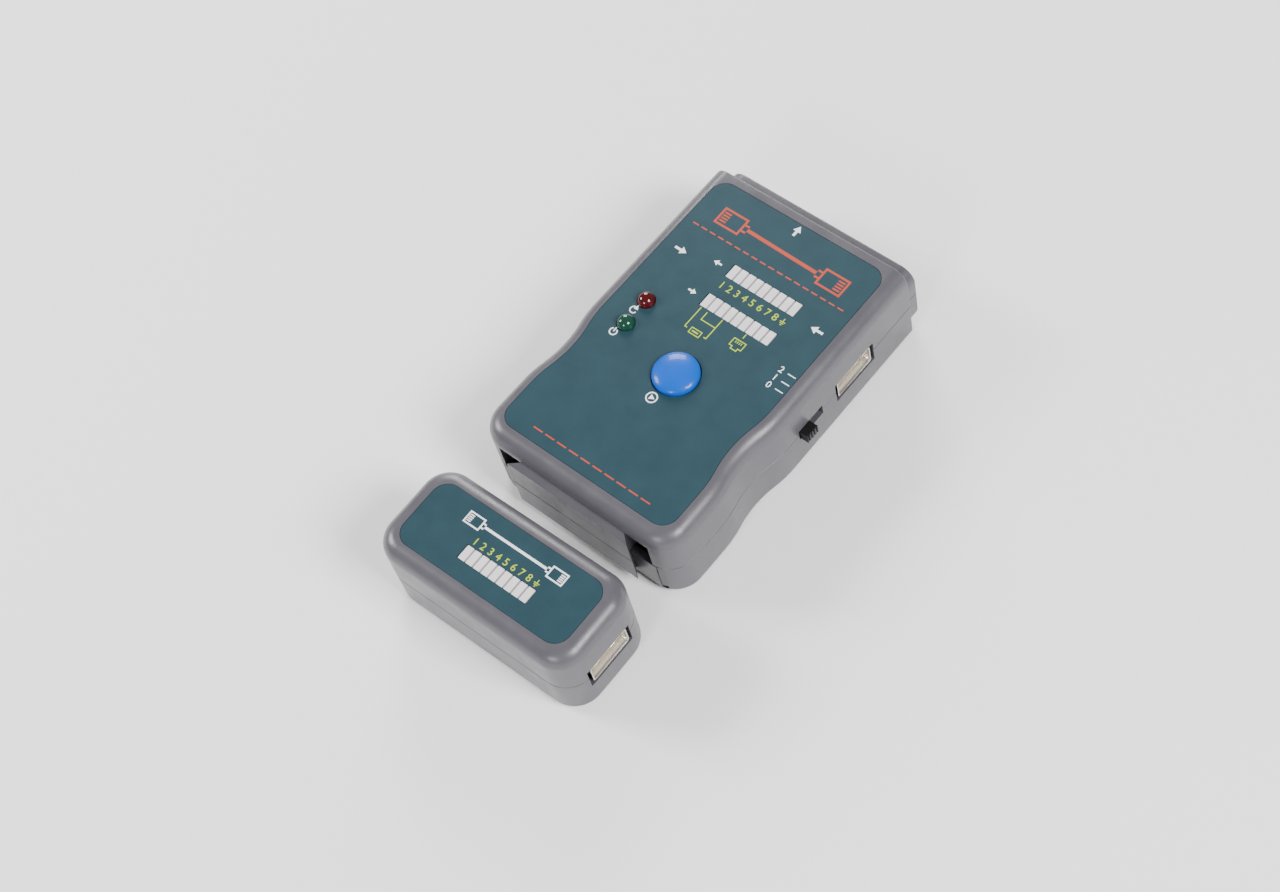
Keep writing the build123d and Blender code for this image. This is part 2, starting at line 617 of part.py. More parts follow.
# ---- test button, its plunger and the switch below it ----
button_axis = Axis((BUTTON_X, BUTTON_Y, 0), (0, 0, 1))
button_section = Plane((BUTTON_X, BUTTON_Y, 0), x_dir=(1, 0, 0), z_dir=(0, -1, 0))
crown = CASE_HEIGHT + BUTTON_RISE
flange_top = ceiling - 0.4
hollow_top = CASE_HEIGHT - 0.8
with BuildPart() as test_button:
    with BuildSketch(button_section) as button_profile:
        with BuildLine():
            Polyline(
                (0, crown), (0, hollow_top), (BUTTON_D / 2 - BUTTON_SKIRT, hollow_top),
                (BUTTON_D / 2 - BUTTON_SKIRT, flange_top - FLANGE_THICK),
                (FLANGE_D / 2, flange_top - FLANGE_THICK),
                (FLANGE_D / 2, flange_top), (BUTTON_D / 2, flange_top), (BUTTON_D / 2, CASE_HEIGHT + 0.4),
            )
            TangentArc((0, crown), (BUTTON_D / 2, CASE_HEIGHT + 0.4), tangent=(1, 0))
        make_face()
        fillet(button_profile.vertices().group_by(Axis.X)[-2].sort_by(Axis.Y)[-1], 1.1)
    revolve(axis=button_axis)
    with BuildSketch(Plane((BUTTON_X, BUTTON_Y, crown))):
        Circle(0.7)
    extrude(amount=-0.15, mode=Mode.SUBTRACT)
test_button.part.label = "test_button"
export_step(test_button.part, "parts/test_button.step")

tact_top = DISPLAY_TOP + TACT_HEIGHT
with BuildPart() as tact_plunger:
    with BuildSketch(Plane((BUTTON_X, BUTTON_Y, tact_top - BUTTON_TRAVEL - 0.1))):
        Circle(PLUNGER_D / 2)
    extrude(amount=hollow_top - tact_top + BUTTON_TRAVEL + 0.1)
tact_plunger.part.label = "tact_plunger"
export_step(tact_plunger.part, "parts/tact_plunger.step")

with BuildPart() as tact_switch:
    with BuildSketch(Plane((BUTTON_X, BUTTON_Y, DISPLAY_TOP))):
        Rectangle(TACT_SIZE, TACT_SIZE)
    extrude(amount=TACT_HEIGHT)
    chamfer(tact_switch.edges().filter_by(Axis.Z), 0.5)
    with BuildSketch(Plane((BUTTON_X, BUTTON_Y, tact_top))):
        Circle(PLUNGER_D / 2 + RUN)
    extrude(amount=-2 * BUTTON_TRAVEL - 2 * RUN, mode=Mode.SUBTRACT)
tact_switch.part.label = "tact_switch"
export_step(tact_switch.part, "parts/tact_switch.step")

# ---- boards ----
with BuildPart() as display_board:
    with BuildSketch(Plane.XY.offset(DISPLAY_Z)):
        with Locations((0, (DISPLAY_LOW + DISPLAY_HIGH) / 2)):
            Rectangle(DISPLAY_WIDTH, DISPLAY_HIGH - DISPLAY_LOW)
        with Locations(*DISPLAY_SCREWS):
            Circle(SMALL_SCREW_D / 2 + FIT, mode=Mode.SUBTRACT)
    extrude(amount=DISPLAY_THICK)
display_board.part.label = "display_board"
export_step(display_board.part, "parts/display_board.step")

with BuildPart() as main_board:
    with BuildSketch(Plane.XY.offset(BOARD_Z)) as board_face:
        with Locations((0, (BOARD_LOW + BOARD_HIGH) / 2)):
            Rectangle(BOARD_WIDTH, BOARD_HIGH - BOARD_LOW)
        fillet(board_face.vertices().group_by(Axis.Y)[-1], CORNER - WALL)
        with Locations(*CASE_SCREWS):
            Circle(BOSS_D / 2 + RUN, mode=Mode.SUBTRACT)
        with Locations(*BOARD_SCREWS):
            Circle(SMALL_SCREW_D / 2 + FIT, mode=Mode.SUBTRACT)
    extrude(amount=BOARD_THICK)
main_board.part.label = "main_board"
export_step(main_board.part, "parts/main_board.step")

# ---- board-to-board connector ----
header_length = HEADER_PINS * LED_PITCH
with BuildPart() as header_pins:
    with BuildSketch(Plane.XY.offset(BOARD_TOP)):
        with Locations((0, HEADER_Y)):
            with GridLocations(LED_PITCH, 1, HEADER_PINS, 1):
                Rectangle(PIN, PIN)
    extrude(amount=DISPLAY_Z - BOARD_TOP - 2)
header_pins.part.label = "header_pins"
export_step(header_pins.part, "parts/header_pins.step")

header_halves = (
    ("board_header", BOARD_TOP, HEADER_HEIGHT, 0),
    ("board_socket", DISPLAY_Z - SOCKET_HEIGHT, SOCKET_HEIGHT, FIT),
)
for name, base, height, slack in header_halves:
    with BuildPart() as connector:
        with BuildSketch(Plane.XY.offset(base)):
            with Locations((0, HEADER_Y)):
                Rectangle(header_length, LED_PITCH)
                with GridLocations(LED_PITCH, 1, HEADER_PINS, 1):
                    Rectangle(PIN + slack, PIN + slack, mode=Mode.SUBTRACT)
        extrude(amount=height)
    connector.part.label = name
    export_step(connector.part, f"parts/{name}.step")


# ---- chips and small components on the main board ----
def small_outline_chip(x, y, length, width, pins_a_side):
    """Chip with a row of bent leads along each long side, standing on the main board."""
    with BuildPart() as chip:
        with BuildSketch(Plane((x, y, BOARD_TOP + 0.2))):
            Rectangle(length, width)
        extrude(amount=CHIP_HEIGHT)
        chamfer(chip.faces().sort_by(Axis.Z)[-1].edges(), CHIP_HEIGHT / 7)
        with BuildSketch(Plane((x, y, BOARD_TOP + CHIP_HEIGHT * 0.42))):
            with GridLocations(CHIP_PITCH, width + 1.2, pins_a_side, 2):
                Rectangle(LEAD_WIDTH, 1.4)
        extrude(amount=LEAD_WIDTH / 2)
        with BuildSketch(Plane((x, y, BOARD_TOP))):
            with GridLocations(CHIP_PITCH, width + 2.2, pins_a_side, 2):
                Rectangle(LEAD_WIDTH, 0.5)
        extrude(amount=CHIP_HEIGHT / 2)
    return chip.part


controller_chip = small_outline_chip(1.5, 13.5, 17.9, 7.5, 14)
controller_chip.label = "controller_chip"
export_step(controller_chip, "parts/controller_chip.step")
with BuildPart() as driver_chips:
    add(small_outline_chip(-6.0, 28.0, 10.0, 4.0, 8))
    add(small_outline_chip(8.0, 28.0, 10.0, 4.0, 8))
driver_chips.part.label = "driver_chips"
export_step(driver_chips.part, "parts/driver_chips.step")

with BuildPart() as resistors:
    with BuildSketch(Plane.XY.offset(BOARD_TOP)):
        with Locations((BAR_X, 3.0)):
            with GridLocations(LED_PITCH, 3.0, LED_COUNT, 2):
                Rectangle(RESISTOR[0], RESISTOR[1])
    extrude(amount=RESISTOR[2])
resistors.part.label = "resistors"
export_step(resistors.part, "parts/resistors.step")

with BuildPart() as capacitor:
    with BuildSketch(Plane((-16.0, 7.0, BOARD_TOP))):
        Circle(CAPACITOR_D / 2)
    extrude(amount=CAPACITOR_HEIGHT)
    fillet(capacitor.faces().sort_by(Axis.Z)[-1].edges(), 0.4)
capacitor.part.label = "capacitor"
export_step(capacitor.part, "parts/capacitor.step")

# ---- modular jacks and USB sockets of the main unit ----
jacks = (
    ("tx_jack", tx_mouth), ("rx_jack", rx_mouth), ("remote_jack", remote_jack_mouth),
)
for name, mouth in jacks:
    body = modular_jack(mouth)
    body.label = name
    export_step(body, f"parts/{name}.step")
    wires = jack_contacts(mouth)
    wires.label = f"{name}_contacts"
    export_step(wires, f"parts/{name}_contacts.step")

sockets = (("usb_socket", usb_mouth), ("remote_usb_socket", remote_usb_mouth))
for name, mouth in sockets:
    shell = usb_a_shell(mouth)
    shell.label = f"{name}_shell"
    export_step(shell, f"parts/{name}_shell.step")
    insert = usb_a_insert(mouth)
    insert.label = f"{name}_insert"
    export_step(insert, f"parts/{name}_insert.step")
    strips = usb_a_contacts(mouth)
    strips.label = f"{name}_contacts"
    export_step(strips, f"parts/{name}_contacts.step")
    under = Plane(mouth.origin - Vector(0, 0, USB_HEIGHT / 2), x_dir=mouth.z_dir, z_dir=(0, 0, 1))
    with BuildPart() as riser:
        with BuildSketch(under):
            with Locations((-USB_DEPTH / 2 - 2.2, 0)):
                Rectangle(USB_DEPTH - 4.4, USB_WIDTH - 1.2)
        extrude(amount=-(USB_Z - USB_HEIGHT / 2 - BOARD_TOP))
    riser.part.label = f"{name}_riser"
    export_step(riser.part, f"parts/{name}_riser.step")

with BuildPart() as usb_b_shell:
    with BuildSketch(usb_b_mouth):
        Rectangle(USB_B_WIDTH, USB_B_HEIGHT)
    extrude(amount=-USB_B_DEPTH)
    with BuildSketch(usb_b_mouth) as square_mouth:
        Rectangle(*USB_B_MOUTH)
        chamfer(square_mouth.vertices().group_by(Axis.Y)[-1], USB_B_BEVEL)
    extrude(amount=-USB_B_MOUTH_DEPTH, mode=Mode.SUBTRACT)
usb_b_shell.part.label = "usb_b_shell"
export_step(usb_b_shell.part, "parts/usb_b_shell.step")

with BuildPart() as usb_b_insert:
    with BuildSketch(usb_b_mouth.offset(-USB_B_MOUTH_DEPTH)):
        Rectangle(*USB_B_TONGUE)
    extrude(amount=USB_B_MOUTH_DEPTH - 1.0)
usb_b_insert.part.label = "usb_b_insert"
export_step(usb_b_insert.part, "parts/usb_b_insert.step")

# ---- slide switch ----
switch_front = SWITCH_BODY_X + SWITCH_BODY_DEPTH
knob_face = half_width(KNOB_Y) + KNOB_REACH
stem_length, stem_height = KNOB_LENGTH / 2, 1.6
with BuildPart() as slide_switch:
    with BuildSketch(Plane.YZ.offset(SWITCH_BODY_X)):
        with Locations((KNOB_Y + KNOB_TRAVEL / 2, BOARD_TOP)):
            Rectangle(KNOB_TRAVEL + 8.0, PARTING + 2.6 - BOARD_TOP, align=(Align.CENTER, Align.MIN))
    extrude(amount=SWITCH_BODY_DEPTH)
    with BuildSketch(Plane.YZ.offset(switch_front)):
        with Locations((KNOB_Y + KNOB_TRAVEL / 2, PARTING)):
            Rectangle(KNOB_TRAVEL + stem_length + 2 * RUN, stem_height + 2 * RUN)
    extrude(amount=-SWITCH_BODY_DEPTH / 2, mode=Mode.SUBTRACT)
slide_switch.part.label = "slide_switch"
export_step(slide_switch.part, "parts/slide_switch.step")

with BuildPart() as switch_knob:
    with BuildSketch(Plane.YZ.offset(switch_front + RUN)):
        with Locations((KNOB_Y, PARTING)):
            Rectangle(KNOB_LENGTH, KNOB_HEIGHT)
    extrude(amount=knob_face - switch_front - RUN)
    with BuildSketch(Plane.YZ.offset(knob_face)):
        with Locations((KNOB_Y, PARTING)):
            with GridLocations(KNOB_LENGTH / 4, 1, 4, 1):
                Rectangle(KNOB_LENGTH / 10, KNOB_HEIGHT)
    extrude(amount=-0.35, mode=Mode.SUBTRACT)
    with BuildSketch(Plane.YZ.offset(switch_front + RUN)):
        with Locations((KNOB_Y, PARTING)):
            Rectangle(stem_length, stem_height)
    extrude(amount=-SWITCH_BODY_DEPTH / 2)
switch_knob.part.label = "switch_knob"
export_step(switch_knob.part, "parts/switch_knob.step")

# ---- battery, its snaps and the contact plate ----
battery_end = BATTERY_X + BATTERY_LENGTH
snap_plane = Plane(
    (battery_end, BATTERY_Y + BATTERY_WIDTH / 2, BATTERY_Z + BATTERY_HEIGHT / 2),
    x_dir=(0, 1, 0), z_dir=(1, 0, 0),
)
with BuildPart() as battery:
    with BuildSketch(snap_plane) as battery_face:
        Rectangle(BATTERY_WIDTH, BATTERY_HEIGHT)
        fillet(battery_face.vertices(), 2.5)
    extrude(amount=-BATTERY_LENGTH)
    with BuildSketch(snap_plane):
        with Locations((-SNAP_SPACING / 2, 0)):
            Circle(SNAP_D / 2)
    extrude(amount=SNAP_HEIGHT)
    with BuildSketch(snap_plane):
        with Locations((SNAP_SPACING / 2, 0)):
            RegularPolygon(SNAP_HEX, 6)
    extrude(amount=SNAP_HEIGHT)
battery.part.label = "battery"
export_step(battery.part, "parts/battery.step")

with BuildPart() as battery_contacts:
    with BuildSketch(snap_plane.offset(SNAP_HEIGHT + FIT)):
        with Locations((-SNAP_SPACING / 2, 0), (SNAP_SPACING / 2, 0)):
            Circle(CONTACT_D / 2)
    extrude(amount=CONTACT_THICK)
battery_contacts.part.label = "battery_contacts"
export_step(battery_contacts.part, "parts/battery_contacts.step")

with BuildPart() as contact_plate:
    with BuildSketch(Plane.YZ.offset(plate_x)):
        with Locations((plate_y, plate_z)):
            Rectangle(PLATE_WIDTH, PLATE_HEIGHT, align=(Align.MIN, Align.MIN))
    extrude(amount=PLATE_THICK)
contact_plate.part.label = "contact_plate"
export_step(contact_plate.part, "parts/contact_plate.step")

# ---- screws of the main unit ----
below_counterbore = Plane((0, 0, PARTING / 2), x_dir=(1, 0, 0), z_dir=(0, 0, -1))
flipped_case_screws = [(x, -y) for x, y in CASE_SCREWS]
case_screws = pan_screws(
    below_counterbore, flipped_case_screws, SCREW_D, CASE_SHANK, SCREW_HEAD_D, SCREW_HEAD,
)
case_screws.label = "case_screws"
export_step(case_screws, "parts/case_screws.step")
board_screws = pan_screws(
    Plane.XY.offset(BOARD_TOP), BOARD_SCREWS, SMALL_SCREW_D, BOARD_SHANK, SMALL_HEAD_D, SMALL_HEAD,
)
board_screws.label = "board_screws"
export_step(board_screws, "parts/board_screws.step")
below_display = Plane((0, 0, DISPLAY_Z), x_dir=(1, 0, 0), z_dir=(0, 0, -1))
flipped_display_screws = [(x, -y) for x, y in DISPLAY_SCREWS]
display_screws = pan_screws(
    below_display, flipped_display_screws,
    SMALL_SCREW_D, ceiling - DISPLAY_Z - 0.5, SMALL_HEAD_D, SMALL_HEAD,
)
display_screws.label = "display_screws"
export_step(display_screws, "parts/display_screws.step")

# ---- outer form of the remote, with the slot that slides over the main unit's tongue ----
slot_depth = TONGUE_REACH + RUN
remote_back = REMOTE_DEPTH / 2
cavity_back = remote_back - slot_depth - WALL * 0.75
with BuildPart() as remote_form:
    with BuildSketch(bench):
        RectangleRounded(REMOTE_WIDTH, REMOTE_DEPTH, CORNER)
    extrude(amount=CASE_HEIGHT)
    fillet(remote_form.faces().sort_by(Axis.Z)[-1].edges(), TOP_FILLET)
    fillet(remote_form.faces().sort_by(Axis.Z)[0].edges(), BASE_FILLET)
    with BuildSketch(bench):
        with BuildLine():
            Polyline(
                (-tongue_root_half - RUN, remote_back), (-TONGUE_HALF - RUN, remote_back - slot_depth),
                (TONGUE_HALF + RUN, remote_back - slot_depth), (tongue_root_half + RUN, remote_back),
                close=True,
            )
        make_face()
    extrude(amount=TONGUE_TOP + RUN, mode=Mode.SUBTRACT)

with BuildPart() as remote_holes:
    with BuildSketch(remote_jack_mouth.offset(WALL)):
        Rectangle(JACK_WIDTH + 2 * FIT, JACK_HEIGHT + 2 * FIT)
    extrude(amount=-WALL - JACK_DEPTH)
    with BuildSketch(remote_usb_mouth.offset(WALL)):
        Rectangle(USB_HOLE_WIDTH, USB_HOLE_HEIGHT)
    extrude(amount=-2 * WALL - 1)

cavity_middle = (cavity_back - remote_back + WALL) / 2
cavity_depth = cavity_back + remote_back - WALL
with BuildPart() as remote_front_housing:
    add(remote_form.part)
    split(bisect_by=Plane.XY.offset(PARTING), keep=Keep.TOP)
    chamfer(remote_front_housing.faces().sort_by(Axis.Z)[0].outer_wire().edges(), SEAM)
    with BuildSketch(bench.offset(PARTING)):
        with Locations((0, cavity_middle)):
            RectangleRounded(REMOTE_WIDTH - 2 * WALL, cavity_depth, CORNER - WALL)
    extrude(amount=ceiling - PARTING, mode=Mode.SUBTRACT)
    with BuildSketch(bench.offset(label_floor)):
        RectangleRounded(REMOTE_LABEL_WIDTH + 2 * FIT, REMOTE_LABEL_DEPTH + 2 * FIT, LABEL_CORNER + FIT)
    extrude(amount=LABEL_RECESS, mode=Mode.SUBTRACT)
    with BuildSketch(bench.offset(ceiling)):
        with Locations((REMOTE_BAR_X, REMOTE_BAR_Y)):
            Rectangle(LED_PITCH * LED_COUNT + 2 * FIT, LED_DEPTH + 2 * FIT)
    extrude(amount=WALL, mode=Mode.SUBTRACT)
    with BuildSketch(bench.offset(PARTING + FIT)):
        with Locations(*REMOTE_SCREWS):
            Circle(BOSS_D / 2)
    extrude(amount=ceiling - PARTING - FIT)
    with BuildSketch(bench.offset(PARTING)):
        with Locations(*REMOTE_SCREWS):
            Circle(SCREW_D / 2 + FIT / 3)
    extrude(amount=ceiling - PARTING - 1, mode=Mode.SUBTRACT)
    add(remote_holes.part, mode=Mode.SUBTRACT)
remote_front_housing.part.label = "remote_front_housing"
export_step(remote_front_housing.part, "parts/remote_front_housing.step")

with BuildPart() as remote_rear_housing:
    add(remote_form.part)
    split(bisect_by=Plane.XY.offset(PARTING), keep=Keep.BOTTOM)
    chamfer(remote_rear_housing.faces().sort_by(Axis.Z)[-1].outer_wire().edges(), SEAM)
    with BuildSketch(bench.offset(WALL)):
        with Locations((0, cavity_middle)):
            RectangleRounded(REMOTE_WIDTH - 2 * WALL, cavity_depth, CORNER - WALL)
    extrude(amount=PARTING - WALL, mode=Mode.SUBTRACT)
    with BuildSketch(bench.offset(WALL)):
        with Locations(*REMOTE_SCREWS):
            Circle(BOSS_D / 2)
    extrude(amount=PARTING - WALL - FIT)
    with BuildSketch(bench):
        with Locations(*REMOTE_SCREWS):
            Circle(SCREW_HEAD_D / 2 + FIT)
    extrude(amount=PARTING / 2, mode=Mode.SUBTRACT)
    with BuildSketch(bench):
        with Locations(*REMOTE_SCREWS):
            Circle(SCREW_D / 2 + FIT)
    extrude(amount=PARTING, mode=Mode.SUBTRACT)
    with BuildSketch(bench.offset(WALL)):
        with Locations(*REMOTE_BOARD_SCREWS):
            Circle(PILLAR_D / 2)
    extrude(amount=BOARD_Z - WALL)
    with BuildSketch(bench.offset(WALL)):
        with Locations(*REMOTE_BOARD_SCREWS):
            Circle(SMALL_SCREW_D / 2 + FIT / 3)
    extrude(amount=BOARD_Z - WALL, mode=Mode.SUBTRACT)
    add(remote_holes.part, mode=Mode.SUBTRACT)
remote_rear_housing.part.label = "remote_rear_housing"
export_step(remote_rear_housing.part, "parts/remote_rear_housing.step")

# ---- label, indicators and board of the remote ----
with BuildPart() as remote_label:
    with BuildSketch(bench.offset(label_floor)):
        RectangleRounded(REMOTE_LABEL_WIDTH, REMOTE_LABEL_DEPTH, LABEL_CORNER)
        with Locations((REMOTE_BAR_X, REMOTE_BAR_Y)):
            Rectangle(LED_PITCH * LED_COUNT + FIT, LED_DEPTH + FIT, mode=Mode.SUBTRACT)
    extrude(amount=LABEL_THICK)
remote_label.part.label = "remote_label"
export_step(remote_label.part, "parts/remote_label.step")

led_foot = DISPLAY_TOP
remote_leds = led_rows(bench, REMOTE_BAR_X, REMOTE_BAR_Y, led_foot, BAR_TOP)
remote_leds.label = "remote_leds"
export_step(remote_leds, "parts/remote_leds.step")

with BuildPart() as led_spacer:
    with BuildSketch(bench.offset(BOARD_TOP)):
        with Locations((REMOTE_BAR_X, REMOTE_BAR_Y)):
            Rectangle(LED_PITCH * LED_COUNT, LED_DEPTH + 1.0)
            with GridLocations(LED_PITCH, 1, LED_COUNT, 1):
                Rectangle(LED_WIDTH / 2, LED_DEPTH - 1.0, mode=Mode.SUBTRACT)
    extrude(amount=led_foot - BOARD_TOP)
led_spacer.part.label = "led_spacer"
export_step(led_spacer.part, "parts/led_spacer.step")

board_back = cavity_back - 0.4
board_front = -remote_back + WALL + 0.4
with BuildPart() as remote_board:
    with BuildSketch(bench.offset(BOARD_Z)):
        with Locations((0, (board_back + board_front) / 2)):
            RectangleRounded(REMOTE_BOARD_WIDTH, board_back - board_front, CORNER - WALL)
        with Locations(*REMOTE_SCREWS):
            Circle(BOSS_D / 2 + RUN, mode=Mode.SUBTRACT)
        with Locations(*REMOTE_BOARD_SCREWS):
            Circle(SMALL_SCREW_D / 2 + FIT, mode=Mode.SUBTRACT)
    extrude(amount=BOARD_THICK)
remote_board.part.label = "remote_board"
export_step(remote_board.part, "parts/remote_board.step")

with BuildPart() as remote_resistors:
    with BuildSketch(bench.offset(BOARD_TOP)):
        with Locations((REMOTE_BAR_X, REMOTE_BAR_Y + 4.4)):
            with GridLocations(LED_PITCH, 1, LED_COUNT, 1):
                Rectangle(RESISTOR[0], RESISTOR[1])
    extrude(amount=RESISTOR[2])
remote_resistors.part.label = "remote_resistors"
export_step(remote_resistors.part, "parts/remote_resistors.step")

# ---- screws of the remote ----
def below(height):
    """Plane at this height of the remote that faces the bench, with y turned over."""
    return Plane((REMOTE_X, REMOTE_Y, height), x_dir=bench.x_dir, z_dir=(0, 0, -1))


remote_case_screws = pan_screws(
    below(PARTING / 2), [(x, -y) for x, y in REMOTE_SCREWS],
    SCREW_D, CASE_SHANK, SCREW_HEAD_D, SCREW_HEAD,
)
remote_case_screws.label = "remote_case_screws"
export_step(remote_case_screws, "parts/remote_case_screws.step")
remote_board_screws = pan_screws(
    bench.offset(BOARD_TOP), REMOTE_BOARD_SCREWS, SMALL_SCREW_D, BOARD_SHANK, SMALL_HEAD_D, SMALL_HEAD,
)
remote_board_screws.label = "remote_board_screws"
export_step(remote_board_screws, "parts/remote_board_screws.step")
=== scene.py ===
"""Looks of a handheld network cable tester and its detached remote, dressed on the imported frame."""

import json
import logging
import math
from collections.abc import Callable
from dataclasses import dataclass
from enum import Enum

import bpy
from mathutils import Matrix, Vector


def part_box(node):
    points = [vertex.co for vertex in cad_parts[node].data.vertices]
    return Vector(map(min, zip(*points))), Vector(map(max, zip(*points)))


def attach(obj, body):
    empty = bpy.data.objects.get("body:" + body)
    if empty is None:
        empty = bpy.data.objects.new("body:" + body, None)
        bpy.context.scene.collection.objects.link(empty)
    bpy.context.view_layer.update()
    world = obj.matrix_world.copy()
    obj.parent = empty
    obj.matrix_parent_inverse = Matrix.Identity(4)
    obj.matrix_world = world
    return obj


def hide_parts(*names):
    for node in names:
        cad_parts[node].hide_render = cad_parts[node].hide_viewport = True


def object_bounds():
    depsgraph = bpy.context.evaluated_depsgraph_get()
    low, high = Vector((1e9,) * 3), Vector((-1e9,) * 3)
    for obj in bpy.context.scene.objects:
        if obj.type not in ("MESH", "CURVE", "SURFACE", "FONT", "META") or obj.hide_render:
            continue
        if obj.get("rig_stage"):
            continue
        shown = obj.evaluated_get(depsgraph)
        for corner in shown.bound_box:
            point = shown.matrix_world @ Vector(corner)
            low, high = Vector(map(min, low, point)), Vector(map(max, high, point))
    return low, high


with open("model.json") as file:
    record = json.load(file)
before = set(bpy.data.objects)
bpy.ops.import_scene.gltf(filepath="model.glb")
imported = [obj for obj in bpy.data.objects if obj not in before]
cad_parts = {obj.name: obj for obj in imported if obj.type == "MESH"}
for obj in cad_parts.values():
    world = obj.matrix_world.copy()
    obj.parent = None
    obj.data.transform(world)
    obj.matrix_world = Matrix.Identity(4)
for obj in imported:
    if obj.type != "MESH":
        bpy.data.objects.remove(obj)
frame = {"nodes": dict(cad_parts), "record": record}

LOG = logging.getLogger("cable_tester")
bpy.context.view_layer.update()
MM = 0.001
NOISE_LOW, NOISE_HIGH = 0.3, 0.7
SAME_PLACE = 1e-7

Point = tuple[float, float]
Colour = tuple[float, float, float]


# ---------------------------------------------------------------- small helpers
def linear(red: int, green: int, blue: int) -> Colour:
    """Turn a display colour into the linear values that shaders take.

    Args:
        red: Red, 0 to 255.
        green: Green, 0 to 255.
        blue: Blue, 0 to 255.

    Returns:
        The three linear values, 0 to 1.
    """
    def channel(value: int) -> float:
        """Linear value of one display channel."""
        share = value / 255
        return share / 12.92 if share <= 0.04045 else ((share + 0.055) / 1.055) ** 2.4

    return channel(red), channel(green), channel(blue)


def deselect() -> None:
    """Leave nothing selected and no object in edit mode."""
    if bpy.context.object and bpy.context.object.mode != "OBJECT":
        bpy.ops.object.mode_set(mode="OBJECT")
    bpy.ops.object.select_all(action="DESELECT")


def focus(*objects: bpy.types.Object) -> bpy.types.Object:
    """Select only these objects and make the first one active.

    Args:
        objects: Objects to select.

    Returns:
        The active object.
    """
    deselect()
    for item in objects:
        item.select_set(True)
    bpy.context.view_layer.objects.active = objects[0]
    return objects[0]


def settle(piece: bpy.types.Object) -> bpy.types.Object:
    """Move a piece's place, turn and scale into its mesh.

    Args:
        piece: Object to settle.

    Returns:
        The same object, at the origin.
    """
    focus(piece)
    bpy.ops.object.transform_apply(location=True, rotation=True, scale=True)
    return piece


def join(parts: list[bpy.types.Object], name: str) -> bpy.types.Object:
    """Join settled objects into one named piece.

    Args:
        parts: Objects to join.
        name: Name of the piece.

    Returns:
        The joined piece.
    """
    for part in parts:
        settle(part)
    piece = focus(*parts)
    if len(parts) > 1:
        bpy.ops.object.join()
    piece.name = name
    piece.data.name = name
    return piece


def face_outwards(piece: bpy.types.Object, merge: float = 0.0) -> None:
    """Merge a piece's doubled points, if asked, and turn its faces outwards.

    Args:
        piece: Mesh object.
        merge: Distance under which points merge, in metres; 0 merges none.
    """
    focus(piece)
    bpy.ops.object.mode_set(mode="EDIT")
    bpy.ops.mesh.select_all(action="SELECT")
    if merge:
        bpy.ops.mesh.remove_doubles(threshold=merge)
    bpy.ops.mesh.normals_make_consistent(inside=False)
    bpy.ops.object.mode_set(mode="OBJECT")


def select_faces(piece: bpy.types.Object, wanted: Callable[[bpy.types.MeshPolygon], bool]) -> None:
    """Select only the faces that pass a test, ready for edit mode.

    Args:
        piece: Mesh object.
        wanted: Test that takes a face.
    """
    focus(piece)
    bpy.ops.object.mode_set(mode="EDIT")
    bpy.ops.mesh.select_mode(type="FACE")
    bpy.ops.mesh.select_all(action="DESELECT")
    bpy.ops.object.mode_set(mode="OBJECT")
    for face in piece.data.polygons:
        face.select = wanted(face)


def smooth(piece: bpy.types.Object, degrees: float = 32.0) -> None:
    """Shade a piece smooth, with edges sharper than an angle kept crisp.

    Args:
        piece: Mesh object.
        degrees: Angle above which an edge stays crisp.
    """
    focus(piece)
    bpy.ops.object.shade_smooth_by_angle(angle=math.radians(degrees))


def bevel(piece: bpy.types.Object, width: float, segments: int = 2, degrees: float = 30.0) -> None:
    """Round a piece's sharp edges with an applied bevel.

    Args:
        piece: Mesh object.
        width: Bevel width in metres.
        segments: Number of bevel segments.
        degrees: Angle above which an edge is bevelled.
    """
    focus(piece)
    modifier = piece.modifiers.new("edge_round", "BEVEL")
    modifier.width = width
    modifier.segments = segments
    modifier.limit_method = "ANGLE"
    modifier.angle_limit = math.radians(degrees)
    bpy.ops.object.modifier_apply(modifier=modifier.name)


def dress(piece: bpy.types.Object, finish: "Finish") -> None:
    """Give a piece one finish all over.

    Args:
        piece: Mesh object.
        finish: Finish to use.
    """
    piece.data.materials.clear()
    piece.data.materials.append(finish.material())


def add_piece(piece: bpy.types.Object, body: str, slot: str, finish: "Finish", *nodes: str) -> None:
    """Finish a new piece: dress it, seat it on its body and hide the CAD nodes it replaces.

    Args:
        piece: The finished mesh object.
        body: CAD body it rides on.
        slot: Material slot of the record; not used.
        finish: Its finish.
        nodes: CAD nodes that it replaces.
    """
    settle(piece)
    dress(piece, finish)
    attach(piece, body)
    if nodes:
        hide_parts(*nodes)
    LOG.info("%s rides on %s, %d faces", piece.name, body, len(piece.data.polygons))


# ---------------------------------------------------------------- finishes
class Pattern(Enum):
    """How a finish's colour and roughness vary over the surface."""

    MOULDED = "moulded"
    FILM = "film"
    POLISHED = "polished"
    BRUSHED = "brushed"
    LAMINATE = "laminate"


